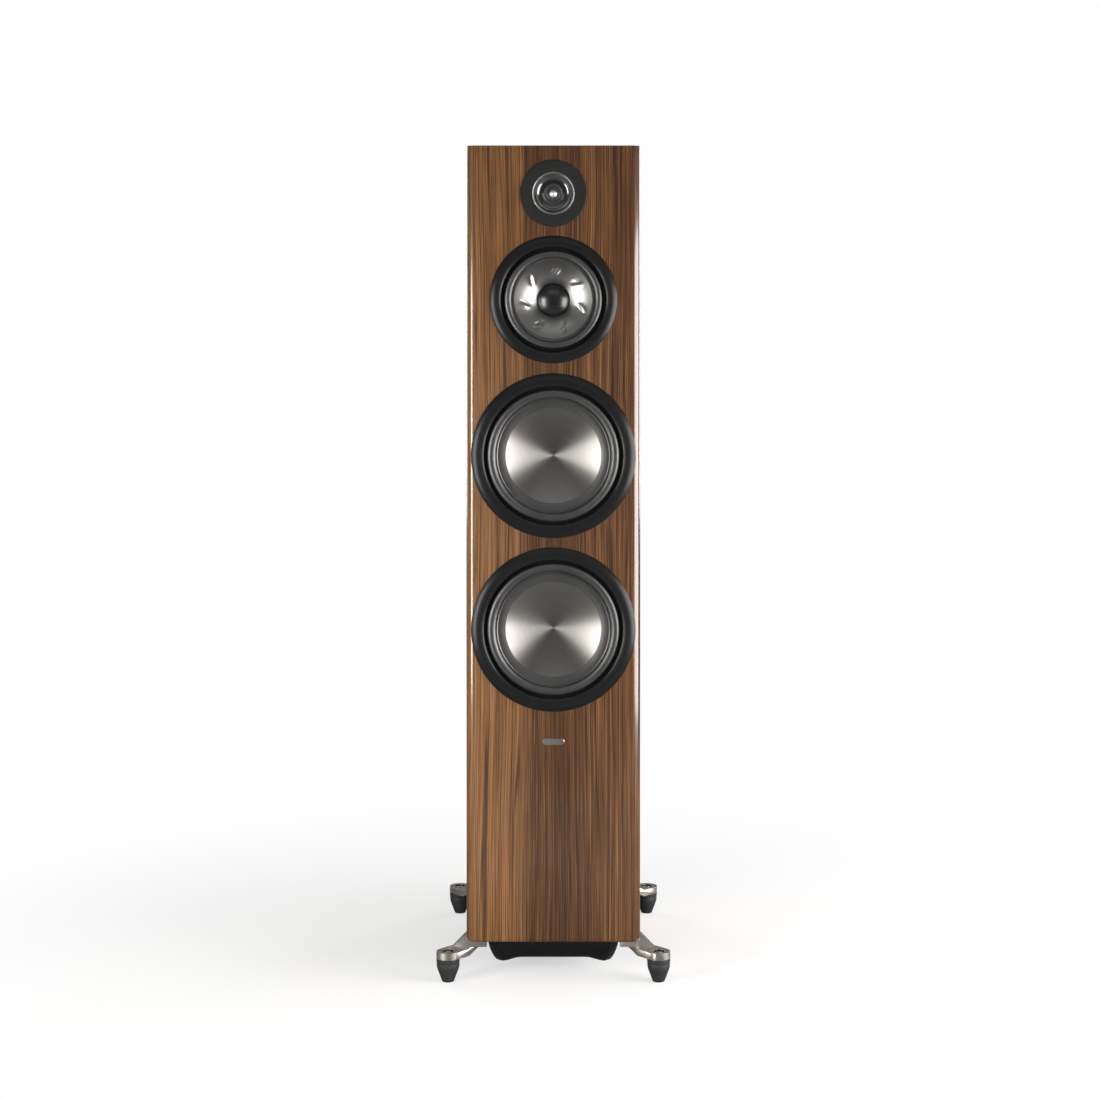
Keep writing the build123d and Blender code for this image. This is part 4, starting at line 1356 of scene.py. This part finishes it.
def terminalPieces():
    plateEdge, postEdge = (terminal["plateEdge"], 3, 60), (terminal["postEdge"], 2, 50)
    for name, node, edge, material, slotName in (
        ("terminal_brushed_plate", "terminal_plate", plateEdge, "terminalPlateMetal", "brushed_plate"),
        ("terminal_gold_posts", "terminal_posts", postEdge, "goldPlate", "gold_plate"),
    ):
        piece = bevelledCopy(name, node, *edge)
        piece.data.materials.append(paint[material])
        smoothShade(piece, 30)
        placePiece(piece, "root", slotName, node)
    bore, outer = terminal["bore"], terminal["washerRadius"]
    for colour in ("red", "black"):
        middle = centreOf(f"{colour}_terminal_cap")
        centre = (middle.x, 0, middle.z)
        terminalCap(colour, centre, bore)
        start, end = (corner.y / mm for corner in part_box(f"{colour}_terminal_washer"))
        corners = [(bore, start, 0), (outer, start, 0.3), (outer, end, 0.3), (bore, end, 0)]
        outline = roundedProfile(corners, 4)
        turnedPart(
            f"{colour}_ring_washer", outline, centre, paint[f"{colour}Insulator"], f"{colour}_washer",
            f"{colour}_insulator", f"{colour}_terminal_washer", 72,
        )


def screwPieces():
    inwards, forwards, upwards = (math.pi / 2, 0, 0), (-math.pi / 2, 0, 0), (math.pi, 0, 0)
    scatterScrews("driver_wood_screws", driverScrewPoints(), screwShape, inwards, 5, "wood_screws")
    low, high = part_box("terminal_plate")
    inset, y = terminal["screwInset"] * mm, high.y - terminal["screwSink"] * mm
    points = [(x, y, z) for x in (low.x + inset, high.x - inset) for z in (low.z + inset, high.z - inset)]
    scatterScrews("terminal_wood_screws", points, screwShape, forwards, 7)
    across, top = legScrews["across"] * mm, legScrews["top"] * mm
    points = []
    for x in (-across, across):
        for setback in legScrews["setbacks"]:
            points += [(x, baffleY + setback * mm, top), (x, rearY - setback * mm, top)]
    scatterScrews("leg_machine_screws", points, legScrewShape, upwards, 9, "leg_screws")


terminalPieces()
screwPieces()


print("inner parts")

# nodes that no piece stands for keep their own meshes, with these materials
innerMaterials = {
    "window_braces": "rawFibreboard",
    "midrange_chamber": "rawFibreboard",
    "driver_top_plates": "zincSteel",
    "driver_magnets": "ferrite",
    "driver_yokes": "zincSteel",
    "tweeter_voice_coil": "coilCopper",
    "tweeter_rear_cup": "mouldedBlack",
    "port_tube": "mouldedBlack",
    "crossover_board": "boardGreen",
}
for driver in ("midrange", "upper_woofer", "lower_woofer"):
    innerMaterials[f"{driver}_basket"] = "basketCasting"
    innerMaterials[f"{driver}_spider"] = "spiderCloth"
    innerMaterials[f"{driver}_voice_coil"] = "coilCopper"
for nodeName, material in innerMaterials.items():
    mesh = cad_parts[nodeName].data
    mesh.materials.clear()
    mesh.materials.append(paint[material])


print("floor, light and camera")

studio = {
    "floor": 0.93,
    "floorSize": 14.0,
    "floorBounce": 0.14,
    "floorClear": (0.35, 1.1),
    "floorGlow": (0.55, 1.0),
    "world": 0.10,
}
middle = (0, baffleY, 0.58)
left = (-1.65, baffleY - 1.38, 0.58)
right = (1.75, baffleY - 0.55, 0.58)
behind = (0, rearY, 0.6)
warm = (1.0, 0.98, 0.93)
pink = (1.0, 0.955, 0.94)
white = (1.0, 1.0, 1.0)
# name: place, aim, width, height, watts, colour, kinds of ray that don't see it
lamps = {
    "leftTall": (left, middle, 0.6, 1.4, 34.0, warm),
    "leftCore": (left, middle, 0.6, 0.5, 9.0, warm),
    "rightTall": (right, middle, 1.9, 1.5, 70.0, pink),
    "rightCore": (right, middle, 1.2, 0.6, 12.0, pink),
    "frontFill": ((0, baffleY - 1.1, 0.50), (0, baffleY, 0.50), 0.9, 0.5, 6.6, white, "glossy"),
    "lowFill": ((0, baffleY - 0.55, 0.03), (0, baffleY, 0.10), 1.0, 0.3, 1.4, white, "glossy", "camera"),
    "aboveFill": ((0, baffleY - 1.6, 2.3), (0, baffleY, 0.6), 2.0, 0.9, 2.6, white, "diffuse"),
    "rearLeft": ((-1.8, rearY + 1.6, 1.2), behind, 0.9, 1.5, 24.0, white),
    "rearRight": ((1.8, rearY + 1.6, 1.2), behind, 0.9, 1.5, 24.0, white),
    "topFill": ((0, 0.3, 3.0), (0, 0.1, 1.0), 1.4, 1.4, 6.0, white),
}
camera = {
    "distance": 2.812,
    "height": 0.840,
    "lens": 65.92,
    "shiftX": -0.00304,
    "shiftY": -0.130,
    "pitch": 0.67,
}


def softBox(name, place, aim, width, height, watts, color, *unseenBy):
    data = bpy.data.lights.new(name, "AREA")
    data.shape = "RECTANGLE"
    data.size, data.size_y = width, height
    data.energy = watts
    data.color = color
    lamp = linkObject(name, data)
    lamp.location = place
    lamp.rotation_euler = (Vector(aim) - Vector(place)).to_track_quat("-Z", "Y").to_euler()
    for kind in unseenBy:
        setattr(lamp, f"visible_{kind}", False)


def floorPaper():
    # white paper: soft shadows near the speaker, evenly lit further out, and little bounce onto the speaker
    level, bounce = studio["floor"], studio["floorBounce"]
    settings = {"Base Color": (level, level, level, 1), "Roughness": 0.8, "Specular IOR Level": 0.1}
    material, tree, shader = newMaterial("floorPaper", settings)
    point = objectPoint(tree, (0, 0, 0), (1, 1, 0))
    away = addNode(tree, "ShaderNodeVectorMath", {"operation": "LENGTH"}, {0: point}).outputs["Value"]
    share = rangeOf(tree, away, *studio["floorClear"], *studio["floorGlow"])
    lit = addNode(tree, "ShaderNodeEmission", None, {"Color": (1, 1, 1, 1), "Strength": 1.0})
    seen = addNode(tree, "ShaderNodeMixShader", None, {0: share, 1: shader.outputs[0], 2: lit.outputs[0]})
    dim = addNode(tree, "ShaderNodeBsdfDiffuse", None, {"Color": (bounce, bounce, bounce, 1)})
    linkMix(tree, dim, seen, tree.nodes["Material Output"])
    return material


def linkMix(tree, elsewhere, seen, out):
    # the camera sees one shader and all other rays see the other
    path = addNode(tree, "ShaderNodeLightPath")
    inputs = {0: path.outputs["Is Camera Ray"], 1: elsewhere.outputs[0], 2: seen.outputs[0]}
    mixed = addNode(tree, "ShaderNodeMixShader", None, inputs)
    tree.links.new(mixed.outputs[0], out.inputs[0])


def studioRoom():
    size = studio["floorSize"]
    corners = [(-size, -size, 0), (size, -size, 0), (size, size, 0), (-size, size, 0)]
    floor = linkObject("floor", meshFrom("floor", corners, [(0, 1, 2, 3)], False))
    floor.data.materials.append(floorPaper())
    world = bpy.data.worlds.new("studio")
    bpy.context.scene.world = world
    world.use_nodes = True
    tree = world.node_tree
    tree.nodes.clear()
    seen = addNode(tree, "ShaderNodeBackground", None, {"Color": (1, 1, 1, 1), "Strength": 1.0})
    inputs = {"Color": (1, 0.99, 0.98, 1), "Strength": studio["world"]}
    room = addNode(tree, "ShaderNodeBackground", None, inputs)
    linkMix(tree, room, seen, addNode(tree, "ShaderNodeOutputWorld"))


def studioCamera():
    data = bpy.data.cameras.new("camera")
    data.sensor_width = 36.0
    data.lens = camera["lens"]
    data.shift_x = camera["shiftX"]
    data.shift_y = camera["shiftY"]
    eye = linkObject("camera", data)
    eye.location = (0, baffleY - camera["distance"], camera["height"])
    eye.rotation_euler = (math.radians(90 - camera["pitch"]), 0, 0)
    bpy.context.scene.camera = eye


studioRoom()
for name, values in lamps.items():
    softBox(name, *values)
studioCamera()
bpy.context.scene.view_settings.view_transform = "Standard"
